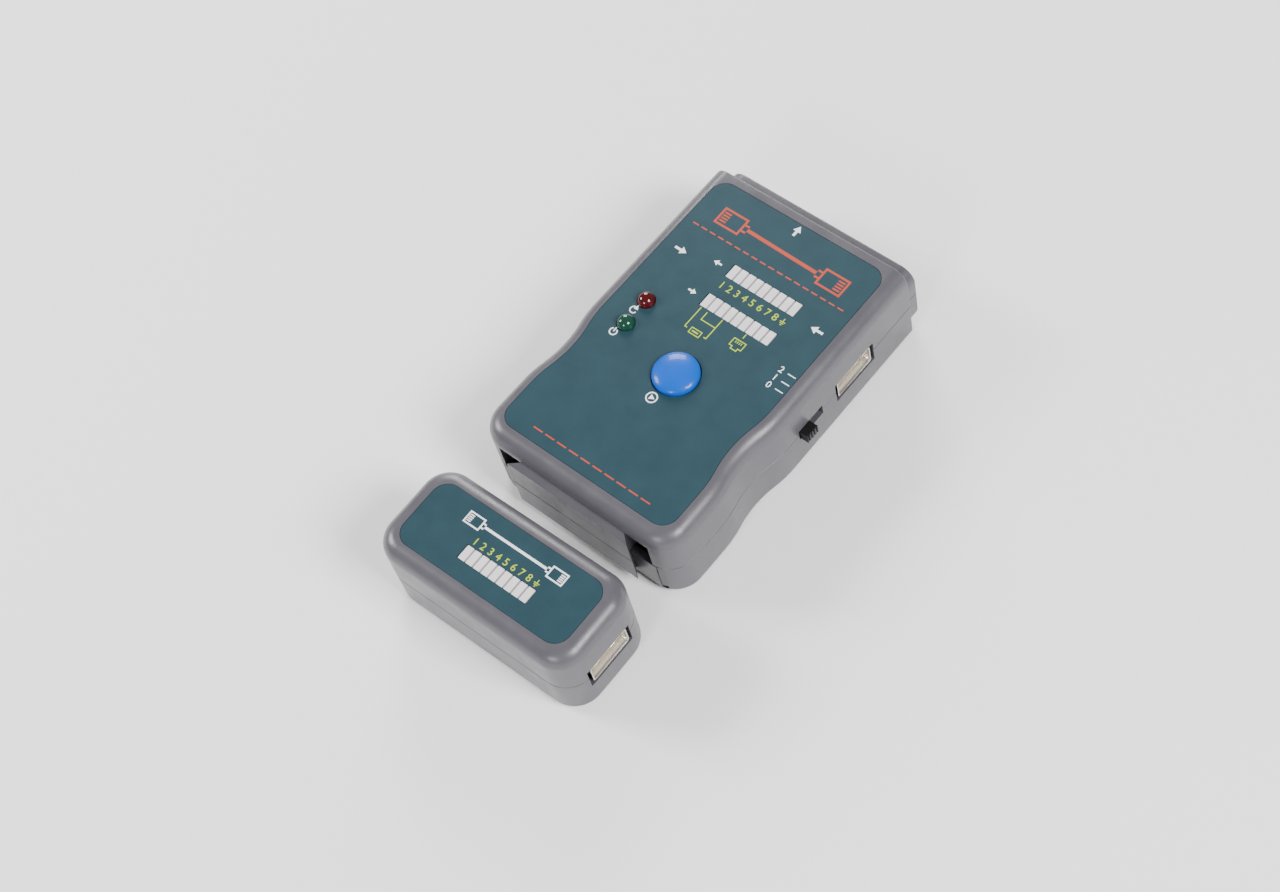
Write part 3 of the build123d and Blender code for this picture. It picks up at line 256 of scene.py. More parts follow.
@dataclass(frozen=True)
class Finish:
    """One procedural finish, read in object coordinates in metres."""

    name: str
    colour: Colour
    roughness: float
    pattern: Pattern = Pattern.MOULDED
    metallic: float = 0.0
    specular: float = 0.5
    coat: float = 0.0
    coat_roughness: float = 0.08
    tone_change: float = 0.05
    grain_mm: float = 0.25
    grain_depth: float = 0.06
    gloss_change: float = 0.15

    def material(self) -> bpy.types.Material:
        """Return this finish's material, made on first use."""
        made = bpy.data.materials.get(self.name)
        return made if made else self.make()

    def make(self) -> bpy.types.Material:
        """Build the material.

        Returns:
            The new material.
        """
        made = bpy.data.materials.new(self.name)
        made.use_nodes = True
        made.diffuse_color = (*self.colour, 1)
        tree = made.node_tree
        shader = next(node for node in tree.nodes if node.type == "BSDF_PRINCIPLED")
        shader.inputs["Metallic"].default_value = self.metallic
        shader.inputs["Specular IOR Level"].default_value = self.specular
        shader.inputs["Coat Weight"].default_value = self.coat
        shader.inputs["Coat Roughness"].default_value = self.coat_roughness
        place = tree.nodes.new("ShaderNodeTexCoord")
        stretch = tree.nodes.new("ShaderNodeMapping")
        if self.pattern is Pattern.BRUSHED:
            stretch.inputs["Scale"].default_value = (0.12, 0.12, 1.0)
        tree.links.new(place.outputs["Object"], stretch.inputs["Vector"])
        cloud = self.noise(tree, stretch, 1 / (6 * MM), 3.0)
        grain = self.noise(tree, stretch, 1 / (self.grain_mm * MM), 4.0)
        self.link_tone(tree, cloud, grain, shader)
        self.link_roughness(tree, cloud, grain, shader)
        if self.grain_depth:
            bump = tree.nodes.new("ShaderNodeBump")
            bump.inputs["Strength"].default_value = self.grain_depth
            bump.inputs["Distance"].default_value = self.grain_mm * MM
            tree.links.new(grain.outputs["Fac"], bump.inputs["Height"])
            tree.links.new(bump.outputs["Normal"], shader.inputs["Normal"])
        return made

    @staticmethod
    def noise(tree: bpy.types.NodeTree, place: bpy.types.Node, scale: float, detail: float) -> bpy.types.Node:
        """Add a noise texture.

        Args:
            tree: The material's tree.
            place: Mapping node that gives coordinates.
            scale: Noise scale per metre.
            detail: Levels of detail.

        Returns:
            The noise node.
        """
        node = tree.nodes.new("ShaderNodeTexNoise")
        node.inputs["Scale"].default_value = scale
        node.inputs["Detail"].default_value = detail
        tree.links.new(place.outputs["Vector"], node.inputs["Vector"])
        return node

    def link_tone(
        self, tree: bpy.types.NodeTree, cloud: bpy.types.Node, grain: bpy.types.Node, shader: bpy.types.Node
    ) -> None:
        """Vary the colour with slow clouds and, on printed film and board, with fine grain too.

        Args:
            tree: The material's tree.
            cloud: Slow noise.
            grain: Fine noise.
            shader: The surface shader.
        """
        ramp = tree.nodes.new("ShaderNodeValToRGB")
        low, high = ramp.color_ramp.elements
        low.position, high.position = NOISE_LOW, NOISE_HIGH
        low.color = (*[channel * (1 - self.tone_change) for channel in self.colour], 1)
        high.color = (*[min(1, channel * (1 + self.tone_change)) for channel in self.colour], 1)
        fine = self.pattern in (Pattern.FILM, Pattern.LAMINATE, Pattern.MOULDED)
        if fine:
            blend = tree.nodes.new("ShaderNodeMath")
            blend.operation = "MULTIPLY_ADD"
            blend.inputs[1].default_value = 0.5
            half = tree.nodes.new("ShaderNodeMath")
            half.operation = "MULTIPLY"
            half.inputs[1].default_value = 0.5
            tree.links.new(cloud.outputs["Fac"], half.inputs[0])
            tree.links.new(grain.outputs["Fac"], blend.inputs[0])
            tree.links.new(half.outputs["Value"], blend.inputs[2])
            tree.links.new(blend.outputs["Value"], ramp.inputs["Fac"])
        else:
            tree.links.new(cloud.outputs["Fac"], ramp.inputs["Fac"])
        tree.links.new(ramp.outputs["Color"], shader.inputs["Base Color"])

    def link_roughness(
        self, tree: bpy.types.NodeTree, cloud: bpy.types.Node, grain: bpy.types.Node, shader: bpy.types.Node
    ) -> None:
        """Vary the roughness a little, with the brushing on metal and with slow clouds elsewhere.

        Args:
            tree: The material's tree.
            cloud: Slow noise.
            grain: Fine noise.
            shader: The surface shader.
        """
        spread = tree.nodes.new("ShaderNodeMapRange")
        spread.inputs["From Min"].default_value = NOISE_LOW
        spread.inputs["From Max"].default_value = NOISE_HIGH
        spread.inputs["To Min"].default_value = max(0.02, self.roughness * (1 - self.gloss_change))
        spread.inputs["To Max"].default_value = min(1.0, self.roughness * (1 + self.gloss_change))
        source = grain if self.pattern is Pattern.BRUSHED else cloud
        tree.links.new(source.outputs["Fac"], spread.inputs["Value"])
        tree.links.new(spread.outputs["Result"], shader.inputs["Roughness"])


CASE = Finish("grey_case_plastic", linear(80, 78, 84), 0.33, specular=0.5, grain_mm=0.22, grain_depth=0.12)
FILM = Finish(
    "teal_label_film", linear(30, 58, 67), 0.42, Pattern.FILM, specular=0.3,
    tone_change=0.12, grain_mm=0.30, grain_depth=0.05, gloss_change=0.03,
)
# Pale colour painted on the films' rims and cut edges: a painted highlight for the edges catching light.
PAINTED_EDGE_HIGHLIGHT = Finish("painted_edge_highlight", linear(92, 108, 115), 0.5, Pattern.FILM, grain_depth=0.02)
BUTTON = Finish(
    "blue_button_plastic", (0.0, 0.085, 0.50), 0.35, Pattern.POLISHED, specular=0.15,
    coat=0.25, coat_roughness=0.10, tone_change=0.03, grain_depth=0.0, gloss_change=0.04,
)
RED = Finish(
    "red_dome_lens", (0.060, 0.0006, 0.002), 0.08, Pattern.POLISHED,
    specular=0.4, coat=0.4, coat_roughness=0.05, tone_change=0.10, grain_depth=0.0, gloss_change=0.04,
)
GREEN = Finish(
    "green_dome_lens", (0.004, 0.050, 0.030), 0.08, Pattern.POLISHED,
    specular=0.4, coat=0.4, coat_roughness=0.05, tone_change=0.10, grain_depth=0.0, gloss_change=0.04,
)
BAR = Finish(
    "milky_bar_lens", linear(222, 217, 219), 0.30, Pattern.POLISHED,
    tone_change=0.04, grain_mm=0.5, grain_depth=0.02,
)
GAP = Finish("bar_divider_plastic", linear(138, 130, 134), 0.55, tone_change=0.05)
BLACK = Finish("black_moulded_plastic", linear(16, 16, 17), 0.45, specular=0.3, grain_depth=0.08)
WHITE = Finish("ivory_insert_plastic", linear(226, 222, 210), 0.42, grain_depth=0.04)
NICKEL = Finish(
    "nickel_plate", linear(226, 220, 208), 0.22, Pattern.BRUSHED,
    metallic=1.0, grain_mm=0.6, grain_depth=0.004, gloss_change=0.06,
)
ZINC = Finish(
    "zinc_plate", linear(172, 172, 176), 0.34, Pattern.BRUSHED,
    metallic=1.0, grain_mm=0.2, grain_depth=0.08,
)
GOLD = Finish(
    "gold_contact", linear(214, 172, 84), 0.22, Pattern.BRUSHED,
    metallic=1.0, grain_mm=0.1, grain_depth=0.04,
)
BOARD = Finish(
    "green_solder_mask", linear(22, 92, 48), 0.30, Pattern.LAMINATE,
    tone_change=0.22, grain_mm=0.8, grain_depth=0.06,
)
JACKET = Finish(
    "battery_jacket", linear(52, 54, 60), 0.35, Pattern.POLISHED,
    tone_change=0.12, grain_depth=0.03,
)
CAN = Finish(
    "drawn_can", linear(180, 182, 186), 0.28, Pattern.BRUSHED,
    metallic=1.0, grain_mm=0.15, grain_depth=0.05,
)
WHITE_INK = Finish("white_ink", linear(236, 238, 240), 0.5, Pattern.FILM, tone_change=0.02, grain_depth=0.03)
LIME_INK = Finish("lime_ink", (0.40, 0.52, 0.01), 0.5, Pattern.FILM, tone_change=0.03, grain_depth=0.03)
ORANGE_INK = Finish("orange_ink", (0.42, 0.045, 0.016), 0.5, Pattern.FILM, tone_change=0.03, grain_depth=0.03)

SLOT_FINISHES: dict[str, Finish] = {
    "case_plastic": CASE,
    "label_sheet": FILM,
    "bar_lens": BAR,
    "red_lens": RED,
    "green_lens": GREEN,
    "button_plastic": BUTTON,
    "black_plastic": BLACK,
    "contact_metal": GOLD,
    "socket_metal": NICKEL,
    "white_plastic": WHITE,
    "board_laminate": BOARD,
    "screw_steel": ZINC,
    "battery_can": JACKET,
    "can_metal": CAN,
}


# ---------------------------------------------------------------- shells with smooth shading
@dataclass
class MouldedShells:
    """The curved CAD nodes, copied, merged and shaded smooth."""

    merge_mm: float = 0.002
    crisp_degrees: float = 28.0

    def build(self) -> None:
        """Copy each curved node and put the copy in its place."""
        plan = (
            ("front_housing", "front_case", "main_unit", "case_plastic"),
            ("rear_housing", "rear_case", "main_unit", "case_plastic"),
            ("battery_door", "battery_hatch", "door", "case_plastic"),
            ("remote_front_housing", "remote_front_case", "remote", "case_plastic"),
            ("remote_rear_housing", "remote_rear_case", "remote", "case_plastic"),
        )
        for node, name, body, slot in plan:
            piece = self.copy(node, name)
            add_piece(piece, body, slot, SLOT_FINISHES[slot], node)

    def copy(self, node: str, name: str) -> bpy.types.Object:
        """Copy one node as a merged, smooth piece.

        Args:
            node: CAD node to copy.
            name: Name of the piece.

        Returns:
            The piece, riding on nothing yet.
        """
        source = frame["nodes"][node]
        piece = source.copy()
        piece.data = source.data.copy()
        for key in list(piece.keys()):
            if key.startswith("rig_"):
                del piece[key]
        piece.parent = None
        bpy.context.scene.collection.objects.link(piece)
        piece.name = name
        piece.data.name = name
        focus(piece)
        bpy.ops.object.mode_set(mode="EDIT")
        bpy.ops.mesh.select_all(action="SELECT")
        bpy.ops.mesh.remove_doubles(threshold=self.merge_mm * MM)
        bpy.ops.object.mode_set(mode="OBJECT")
        bpy.ops.mesh.customdata_custom_splitnormals_clear()
        smooth(piece, self.crisp_degrees)
        return piece


@dataclass
class LabelFilm:
    """The two printed films, copied from the CAD nodes, with a pale painted highlight on their rims and cut
    edges, standing in for the edges catching light.
    """

    # Width of the pale ring painted along each film's top rim as a painted highlight.
    edge_highlight_mm: float = 0.26

    def build(self, shells: MouldedShells) -> None:
        """Copy each film and paint a pale highlight ring on its rim and cut edges.

        Args:
            shells: What copies a CAD node as a merged piece.
        """
        for node, name, body in (
            ("front_label", "main_film", "main_unit"), ("remote_label", "remote_film", "remote"),
        ):
            film = shells.copy(node, name)
            top = max(point.co.z for point in film.data.vertices)
            select_faces(film, lambda face: face.normal.z > 0.9 and face.center.z > top - 0.01 * MM)
            bpy.ops.object.mode_set(mode="EDIT")
            bpy.ops.mesh.inset(thickness=self.edge_highlight_mm * MM, depth=0)
            bpy.ops.object.mode_set(mode="OBJECT")
            # Faces outside the inset top, the ring and the cut edges, take the pale painted highlight; the
            # inset top keeps the film colour.
            for face in film.data.polygons:
                face.material_index = int(not face.select)
            add_piece(film, body, "label_sheet", FILM, node)
            film.data.materials.append(PAINTED_EDGE_HIGHLIGHT.material())


@dataclass
class RoundCap:
    """A turned cap with a domed crown, a straight skirt and a flange at its foot."""

    node: str
    name: str
    body: str
    slot: str
    flange_mm: float
    skirt_mm: float
    flange_height_mm: float
    shoulder_mm: float
    hollow_mm: tuple[float, float] = (0.0, 0.0)
    facets: int = 96
    rings: int = 14

    def build(self) -> None:
        """Turn the cap from its foot up and replace the CAD node."""
        low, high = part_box(self.node)
        middle = (low + high) / 2
        foot = high.z - low.z
        deselect()
        bpy.ops.mesh.primitive_circle_add(
            vertices=self.facets, radius=self.flange_mm * MM, fill_type="NGON",
            location=(middle.x, middle.y, low.z),
        )
        cap = settle(bpy.context.object)
        cap.name = self.name
        cap.data.name = self.name
        bpy.ops.object.mode_set(mode="EDIT")
        bpy.ops.mesh.select_all(action="SELECT")
        at = (self.flange_mm, 0.0)
        crown = foot / MM - self.shoulder_mm
        steps = [(self.flange_mm, self.flange_height_mm), (self.skirt_mm, self.flange_height_mm)]
        for ring in range(self.rings):
            turn = math.pi / 2 * ring / self.rings
            steps.append((self.skirt_mm * math.cos(turn), self.shoulder_mm + crown * math.sin(turn)))
        for radius, height in steps:
            bpy.ops.mesh.extrude_region_move(TRANSFORM_OT_translate={"value": (0, 0, (height - at[1]) * MM)})
            share = radius / at[0]
            bpy.ops.transform.resize(value=(share, share, 1), center_override=(middle.x, middle.y, 0))
            at = (radius, height)
        bpy.ops.mesh.extrude_region_move(TRANSFORM_OT_translate={"value": (0, 0, foot - at[1] * MM)})
        bpy.ops.mesh.merge(type="CENTER")
        bpy.ops.object.mode_set(mode="OBJECT")
        if self.hollow_mm[0]:
            self.hollow(cap, low.z)
        face_outwards(cap)
        smooth(cap, 40)
        add_piece(cap, self.body, self.slot, SLOT_FINISHES[self.slot], self.node)

    def hollow(self, cap: bpy.types.Object, foot: float) -> None:
        """Hollow the cap from below.

        Args:
            cap: The turned cap, open at its foot.
            foot: Height of its foot in metres.
        """
        radius, depth = self.hollow_mm
        focus(cap)
        at_foot = [point.index for point in cap.data.vertices if abs(point.co.z - foot) < SAME_PLACE]
        bpy.ops.object.mode_set(mode="EDIT")
        bpy.ops.mesh.select_mode(type="VERT")
        bpy.ops.mesh.select_all(action="DESELECT")
        bpy.ops.object.mode_set(mode="OBJECT")
        for index in at_foot:
            cap.data.vertices[index].select = True
        bpy.ops.object.mode_set(mode="EDIT")
        bpy.ops.mesh.edge_face_add()
        bpy.ops.mesh.inset(thickness=(self.flange_mm - radius) * MM, depth=0)
        bpy.ops.mesh.extrude_region_move(TRANSFORM_OT_translate={"value": (0, 0, depth * MM)})
        bpy.ops.object.mode_set(mode="OBJECT")


# ---------------------------------------------------------------- printed marks
@dataclass
class PrintSheet:
    """A flat label that takes printed marks, placed in its own millimetres."""

    name: str
    body: str
    origin: Vector
    turn_degrees: float = 0.0
    ink_mm: float = 0.03
    levels: int = 5
    level_mm: float = 0.002

    def spot(self, point: Point) -> Vector:
        """Place a point of the sheet in the frame.

        Args:
            point: Millimetres across and up the sheet.

        Returns:
            The point in metres.
        """
        turn = Matrix.Rotation(math.radians(self.turn_degrees), 3, "Z")
        return self.origin + turn @ Vector((point[0] * MM, point[1] * MM, 0))

    def bar(self, start: Point, end: Point, width: float) -> bpy.types.Object:
        """Print a straight bar.

        Args:
            start: One end, in millimetres.
            end: The other end, in millimetres.
            width: Width in millimetres.

        Returns:
            A flat mesh object.
        """
        low, high = self.spot(start), self.spot(end)
        span = high - low
        deselect()
        bpy.ops.mesh.primitive_plane_add(
            size=1, location=(low + high) / 2, rotation=(0, 0, math.atan2(span.y, span.x)),
        )
        patch = bpy.context.object
        patch.scale = (span.length, width * MM, 1)
        return patch

    def line(self, points: list[Point], width: float) -> list[bpy.types.Object]:
        """Print a bent line as one strip with mitred corners.

        Args:
            points: Corners in millimetres; a closed line repeats its first point.
            width: Width in millimetres.

        Returns:
            The strip, in a list.
        """
        corners = [Vector(point) for point in points]
        closed = (corners[0] - corners[-1]).length < 1e-6
        runs = [(b - a).normalized() for a, b in zip(corners, corners[1:])]
        deselect()
        bpy.ops.mesh.primitive_grid_add(x_subdivisions=len(corners) - 1, y_subdivisions=1, size=1)
        strip = bpy.context.object
        rows = sorted(strip.data.vertices, key=lambda vertex: (round(vertex.co.x, 4), vertex.co.y))
        for index, corner in enumerate(corners):
            before = runs[index - 1] if index or closed else runs[0]
            after = runs[index] if index < len(runs) else (runs[0] if closed else runs[-1])
            along = (before + after).normalized()
            half = width / 2 / max(0.3, along.dot(after))
            side = Vector((-along.y, along.x)) * half
            for vertex, way in zip(rows[2 * index:2 * index + 2], (-1, 1)):
                vertex.co = self.spot(tuple(corner + side * way))
        if closed:
            face_outwards(strip, merge=1e-6)
        return [strip]

    def arc(
        self, centre: Point, radius: float, start: float, end: float, width: float
    ) -> list[bpy.types.Object]:
        """Print part of a ring.

        Args:
            centre: Centre in millimetres.
            radius: Radius in millimetres.
            start: First angle in degrees.
            end: Last angle in degrees.
            width: Width in millimetres.

        Returns:
            The bars that make it up.
        """
        steps = max(6, round(abs(end - start) / 20))
        angles = [math.radians(start + (end - start) * index / steps) for index in range(steps + 1)]
        points = [(centre[0] + radius * math.cos(a), centre[1] + radius * math.sin(a)) for a in angles]
        return self.line(points, width)

    def wedge(self, tip: Point, back: Point, spread: float) -> bpy.types.Object:
        """Print a filled triangle.

        Args:
            tip: Its point, in millimetres.
            back: Middle of its base, in millimetres.
            spread: Width of its base in millimetres.

        Returns:
            A flat mesh object.
        """
        low, high = self.spot(back), self.spot(tip)
        span = high - low
        deselect()
        bpy.ops.mesh.primitive_circle_add(
            vertices=3, radius=1, fill_type="NGON", location=low,
            rotation=(0, 0, math.atan2(span.y, span.x) - math.pi / 2),
        )
        patch = bpy.context.object
        patch.scale = (spread * MM / math.sqrt(3), span.length / 1.5, 1)
        patch.location = low + span / 3
        return patch

    def numeral(self, text: str, place: Point, height: float, lean: float = 0.0) -> bpy.types.Object:
        """Print a numeral, centred on its place.

        Args:
            text: The numeral.
            place: Centre in millimetres.
            height: Height of a figure in millimetres.
            lean: Slant of the figure.

        Returns:
            A mesh object.
        """
        deselect()
        bpy.ops.object.text_add(location=self.spot(place), rotation=(0, 0, math.radians(self.turn_degrees)))
        figure = bpy.context.object
        figure.data.body = text
        figure.data.size = height * MM / 0.7
        figure.data.align_x = "CENTER"
        figure.data.align_y = "CENTER"
        figure.data.shear = lean
        figure.data.resolution_u = 4
        figure.data.offset = height * MM * 0.012
        bpy.ops.object.convert(target="MESH")
        return bpy.context.object

    def ink(self, marks: list[bpy.types.Object], name: str, finish: Finish) -> None:
        """Turn flat marks into one thin layer of ink on the sheet.

        Args:
            marks: Flat mesh objects.
            name: What the marks are.
            finish: Colour of the ink.
        """
        for index, mark in enumerate(marks):
            mark.location.z += (index % self.levels) * self.level_mm * MM
        piece = join(marks, f"{self.name}_{name}")
        focus(piece)
        bpy.ops.object.mode_set(mode="EDIT")
        bpy.ops.mesh.select_all(action="SELECT")
        bpy.ops.mesh.extrude_region_move(TRANSFORM_OT_translate={"value": (0, 0, self.ink_mm * MM)})
        bpy.ops.mesh.select_all(action="SELECT")
        bpy.ops.mesh.normals_make_consistent(inside=False)
        bpy.ops.object.mode_set(mode="OBJECT")
        add_piece(piece, self.body, "label_sheet", finish)


@dataclass
class MainMarks:
    """Marks on the main unit's label: numbers, arrows, brackets and rules."""

    sheet: PrintSheet
    bar_x: float
    tx_y: float
    rx_y: float
    pitch: float = 2.54
    figure_mm: float = 2.2
    fine: float = 0.28

    def build(self) -> None:
        """Print every mark."""
        self.numbers()
        self.brackets()
        self.white_marks()
        self.orange_marks()

    def numbers(self) -> None:
        """Print the numerals between the two indicator bars, and an earth sign for the shield."""
        y = (self.tx_y + self.rx_y) / 2 + 0.45
        marks = [
            self.sheet.numeral(str(index + 1), (self.bar_x + (index - 4) * self.pitch, y), self.figure_mm)
            for index in range(8)
        ]
        marks += earth_sign(self.sheet, (self.bar_x + 4 * self.pitch, y), self.figure_mm)
        self.sheet.ink(marks, "numbers", LIME_INK)

    def brackets(self) -> None:
        """Print the lines that tie segments to the kinds of plug, and a sign for each kind."""
        sheet, low = self.sheet, self.rx_y - 2.5
        marks = sheet.line([(-6.2, low), (-6.2, 4.7), (-5.4, 4.7)], self.fine)
        marks += sheet.line([(-3.9, low - 0.4), (-3.9, 8.6), (0.9, 8.6)], self.fine)
        marks += sheet.line([(0.9, low), (0.9, 4.7), (0.1, 4.7)], self.fine)
        marks += sheet.line([(8.8, low), (8.8, 10.2)], self.fine)
        marks += sheet.line([(-4.3, 3.8), (-1.0, 3.8), (-1.0, 5.5), (-4.3, 5.5), (-4.3, 3.8)], self.fine)
        marks += sheet.line([(-3.7, 4.65), (-1.7, 4.65)], self.fine * 1.6)
        marks += sheet.line(
            [
                (6.9, 9.2), (10.7, 9.2), (10.7, 6.9), (9.7, 6.9), (9.7, 6.1),
                (7.9, 6.1), (7.9, 6.9), (6.9, 6.9), (6.9, 9.2),
            ],
            self.fine,
        )
        for index in range(4):
            x = 7.9 + index * 0.6
            marks += sheet.line([(x, 8.8), (x, 8.1)], self.fine * 0.8)
        sheet.ink(marks, "brackets", LIME_INK)

    def white_marks(self) -> None:
        """Print the port arrows, the indicator signs and the switch's ticks."""
        sheet = self.sheet
        marks = arrow(sheet, (-0.3, 42.6), (-0.3, 46.0), 2.4)
        marks += arrow(sheet, (-24.2, 22.5), (-20.4, 22.5), 2.4)
        marks += arrow(sheet, (25.0, 22.8), (21.2, 22.8), 2.4)
        marks += arrow(sheet, (-10.1, self.tx_y), (-12.7, self.tx_y), 1.8)
        marks += arrow(sheet, (-12.7, self.rx_y), (-10.1, self.rx_y), 1.8)
        marks += sheet.arc((-20.6, 0.95), 1.0, 60, 345, 0.34)
        marks.append(sheet.wedge((-20.35, 2.75), (-20.2, 1.35), 1.3))
        marks += sheet.arc((-20.7, -7.2), 1.05, 125, 415, 0.34)
        marks += sheet.line([(-20.7, -7.2), (-20.7, -5.8)], 0.34)
        marks += sheet.arc((0.6, -16.9), 1.5, 0, 360, 0.36)
        marks.append(sheet.wedge((1.55, -16.9), (0.05, -16.9), 1.6))
        for figure, y, short in (("2", 8.4, 25.0), ("1", 5.7, 25.0), ("0", 3.1, 25.0)):
            marks += sheet.line([(short, y), (27.5, y)], 0.26)
            marks.append(sheet.numeral(figure, (22.9, y), 1.9))
        sheet.ink(marks, "signs", WHITE_INK)

    def orange_marks(self) -> None:
        """Print the drawing of a cable between two plugs, and the plain rules."""
        sheet = self.sheet
        marks = plug_drawing(sheet, (-20.6, 37.2), (21.2, 36.7), 5.0, 0.62)
        for start, end, y, dash in ((-25.4, 25.8, 31.3, 1.9), (-19.2, 21.0, -40.9, 2.6)):
            count = round((end - start) / (dash * 1.5))
            step = (end - start) / count
            for index in range(count):
                x = start + index * step
                marks += sheet.line([(x + 0.2, y), (x + step - 0.75, y)], 0.4)
        sheet.ink(marks, "rules", ORANGE_INK)


@dataclass
class RemoteMarks:
    """Marks on the remote's label."""

    sheet: PrintSheet
    bar_x: float
    bar_y: float
    pitch: float = 2.54

    def build(self) -> None:
        """Print the numerals and the plug drawing."""
        y = self.bar_y + 3.75
        marks = [
            self.sheet.numeral(str(index + 1), (self.bar_x + (index - 4) * self.pitch, y), 2.1)
            for index in range(8)
        ]
        marks += earth_sign(self.sheet, (self.bar_x + 4 * self.pitch, y), 2.1)
        self.sheet.ink(marks, "numbers", LIME_INK)
        self.sheet.ink(plug_drawing(self.sheet, (-15.4, 5.2), (17.0, 5.2), 3.2, 0.42), "signs", WHITE_INK)


def arrow(sheet: PrintSheet, start: Point, end: Point, spread: float) -> list[bpy.types.Object]:
    """Print an arrow.

    Args:
        sheet: Sheet to print on.
        start: Its tail, in millimetres.
        end: Its tip, in millimetres.
        spread: Width of its head in millimetres.

    Returns:
        Its marks.
    """
    length = math.dist(start, end)
    head = min(spread * 0.75, length * 0.55)
    neck = tuple(b + (a - b) * head / length for a, b in zip(start, end))
    return [sheet.bar(start, neck, spread * 0.3), sheet.wedge(end, neck, spread)]


def earth_sign(sheet: PrintSheet, centre: Point, height: float) -> list[bpy.types.Object]:
    """Print an earth sign: a stem over three shrinking bars.

    Args:
        sheet: Sheet to print on.
        centre: Centre in millimetres.
        height: Height in millimetres.

    Returns:
        Its marks.
    """
    x, y = centre
    marks = sheet.line([(x, y + height / 2), (x, y)], 0.26)
    for index, half in enumerate((0.85, 0.55, 0.25)):
        level = y - index * height * 0.22
        marks += sheet.line([(x - half, level), (x + half, level)], 0.26)
    return marks


def plug_drawing(
    sheet: PrintSheet, left: Point, right: Point, height: float, width: float
) -> list[bpy.types.Object]:
    """Print a cable with a modular plug at each end.

    Args:
        sheet: Sheet to print on.
        left: Middle of the left end, in millimetres.
        right: Middle of the right end, in millimetres.
        height: Height of a plug in millimetres.
        width: Width of the lines in millimetres.

    Returns:
        Its marks.
    """
    marks: list[bpy.types.Object] = []
    length = height * 1.5
    for (x, y), way in ((left, 1), (right, -1)):
        near, far = x, x + way * length
        corners = [
            (near, y - height / 2), (near, y + height / 2), (far, y + height / 2), (far, y - height / 2),
            (near, y - height / 2),
        ]
        marks += sheet.line(corners, width)
        marks += sheet.line([(far, y - height / 5), (far + way * height / 3, y - height / 5)], width)
        marks += sheet.line([(far, y + height / 5), (far + way * height / 3, y + height / 5)], width)
        for index in range(4):
            level = y + (index - 1.5) * height / 5.5
            start, end = near + way * width, near + way * height * 0.55
            marks += sheet.line([(start, level), (end, level)], width * 0.8)
    reach = length + height / 3
    marks += sheet.line([(left[0] + reach, left[1]), (right[0] - reach, right[1])], width * 1.7)
    return marks


# ---------------------------------------------------------------- indicator bars
@dataclass
class IndicatorBar:
    """A row of flat indicator windows, each with a raised rim, on one moulded block."""

    node: str
    name: str
    body: str
    turn_degrees: float = 0.0
    count: int = 9
    pitch: float = 2.54
    window_mm: float = 1.98
    depth_mm: float = 4.2
    divider_drop_mm: float = 0.1

    def build(self) -> None:
        """Model one window, copy it along the row and replace the CAD row."""
        low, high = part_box(self.node)
        middle = (low + high) / 2
        turn = Matrix.Rotation(math.radians(self.turn_degrees), 3, "Z")
        tall = high.z - low.z
        first = self.window(tall)
        windows = []
        for index in range(self.count):
            block = first if index == 0 else first.copy()
            if index:
                block.data = first.data.copy()
                bpy.context.scene.collection.objects.link(block)
            windows.append(block)
        for index, block in enumerate(windows):
            offset = turn @ Vector(((index - (self.count - 1) / 2) * self.pitch * MM, 0, 0))
            block.location = middle + offset
            block.rotation_euler = (0, 0, math.radians(self.turn_degrees))
        row = join(windows, self.name)
        smooth(row, 25)
        add_piece(row, self.body, "bar_lens", BAR, self.node)
        self.divider(middle, tall)

    def divider(self, middle: Vector, tall: float) -> None:
        """Model the grey block that stands between and behind the windows.

        Args:
            middle: Middle of the row in metres.
            tall: Height of the row in metres.
        """
        deselect()
        bpy.ops.mesh.primitive_cube_add(size=1)
        block = bpy.context.object
        drop = self.divider_drop_mm * MM
        block.scale = ((self.count * self.pitch - 0.14) * MM, self.depth_mm * MM - drop, tall - drop)
        settle(block)
        bevel(block, 0.12 * MM, 2, 40)
        block.location = middle - Vector((0, 0, drop / 2))
        block.rotation_euler = (0, 0, math.radians(self.turn_degrees))
        smooth(join([block], f"{self.name}_dividers"), 25)
        add_piece(block, self.body, "bar_lens", GAP)

    def window(self, tall: float) -> bpy.types.Object:
        """Model one window: a block with two faint grooves across its lit face.

        Args:
            tall: Height of the block in metres.

        Returns:
            The block, at the origin.
        """
        deselect()
        bpy.ops.mesh.primitive_cube_add(size=1)
        block = bpy.context.object
        block.scale = (self.window_mm * MM, self.depth_mm * MM, tall)
        settle(block)
        select_faces(block, lambda face: face.normal.z > 0.9)
        bpy.ops.object.mode_set(mode="EDIT")
        bpy.ops.mesh.inset(thickness=0.16 * MM, depth=0)
        bpy.ops.transform.translate(value=(0, 0, -0.06 * MM))
        bpy.ops.mesh.inset(thickness=0.14 * MM, depth=0)
        bpy.ops.transform.translate(value=(0, 0, 0.05 * MM))
        bpy.ops.object.mode_set(mode="OBJECT")
        bevel(block, 0.06 * MM, 2, 40)
        return block


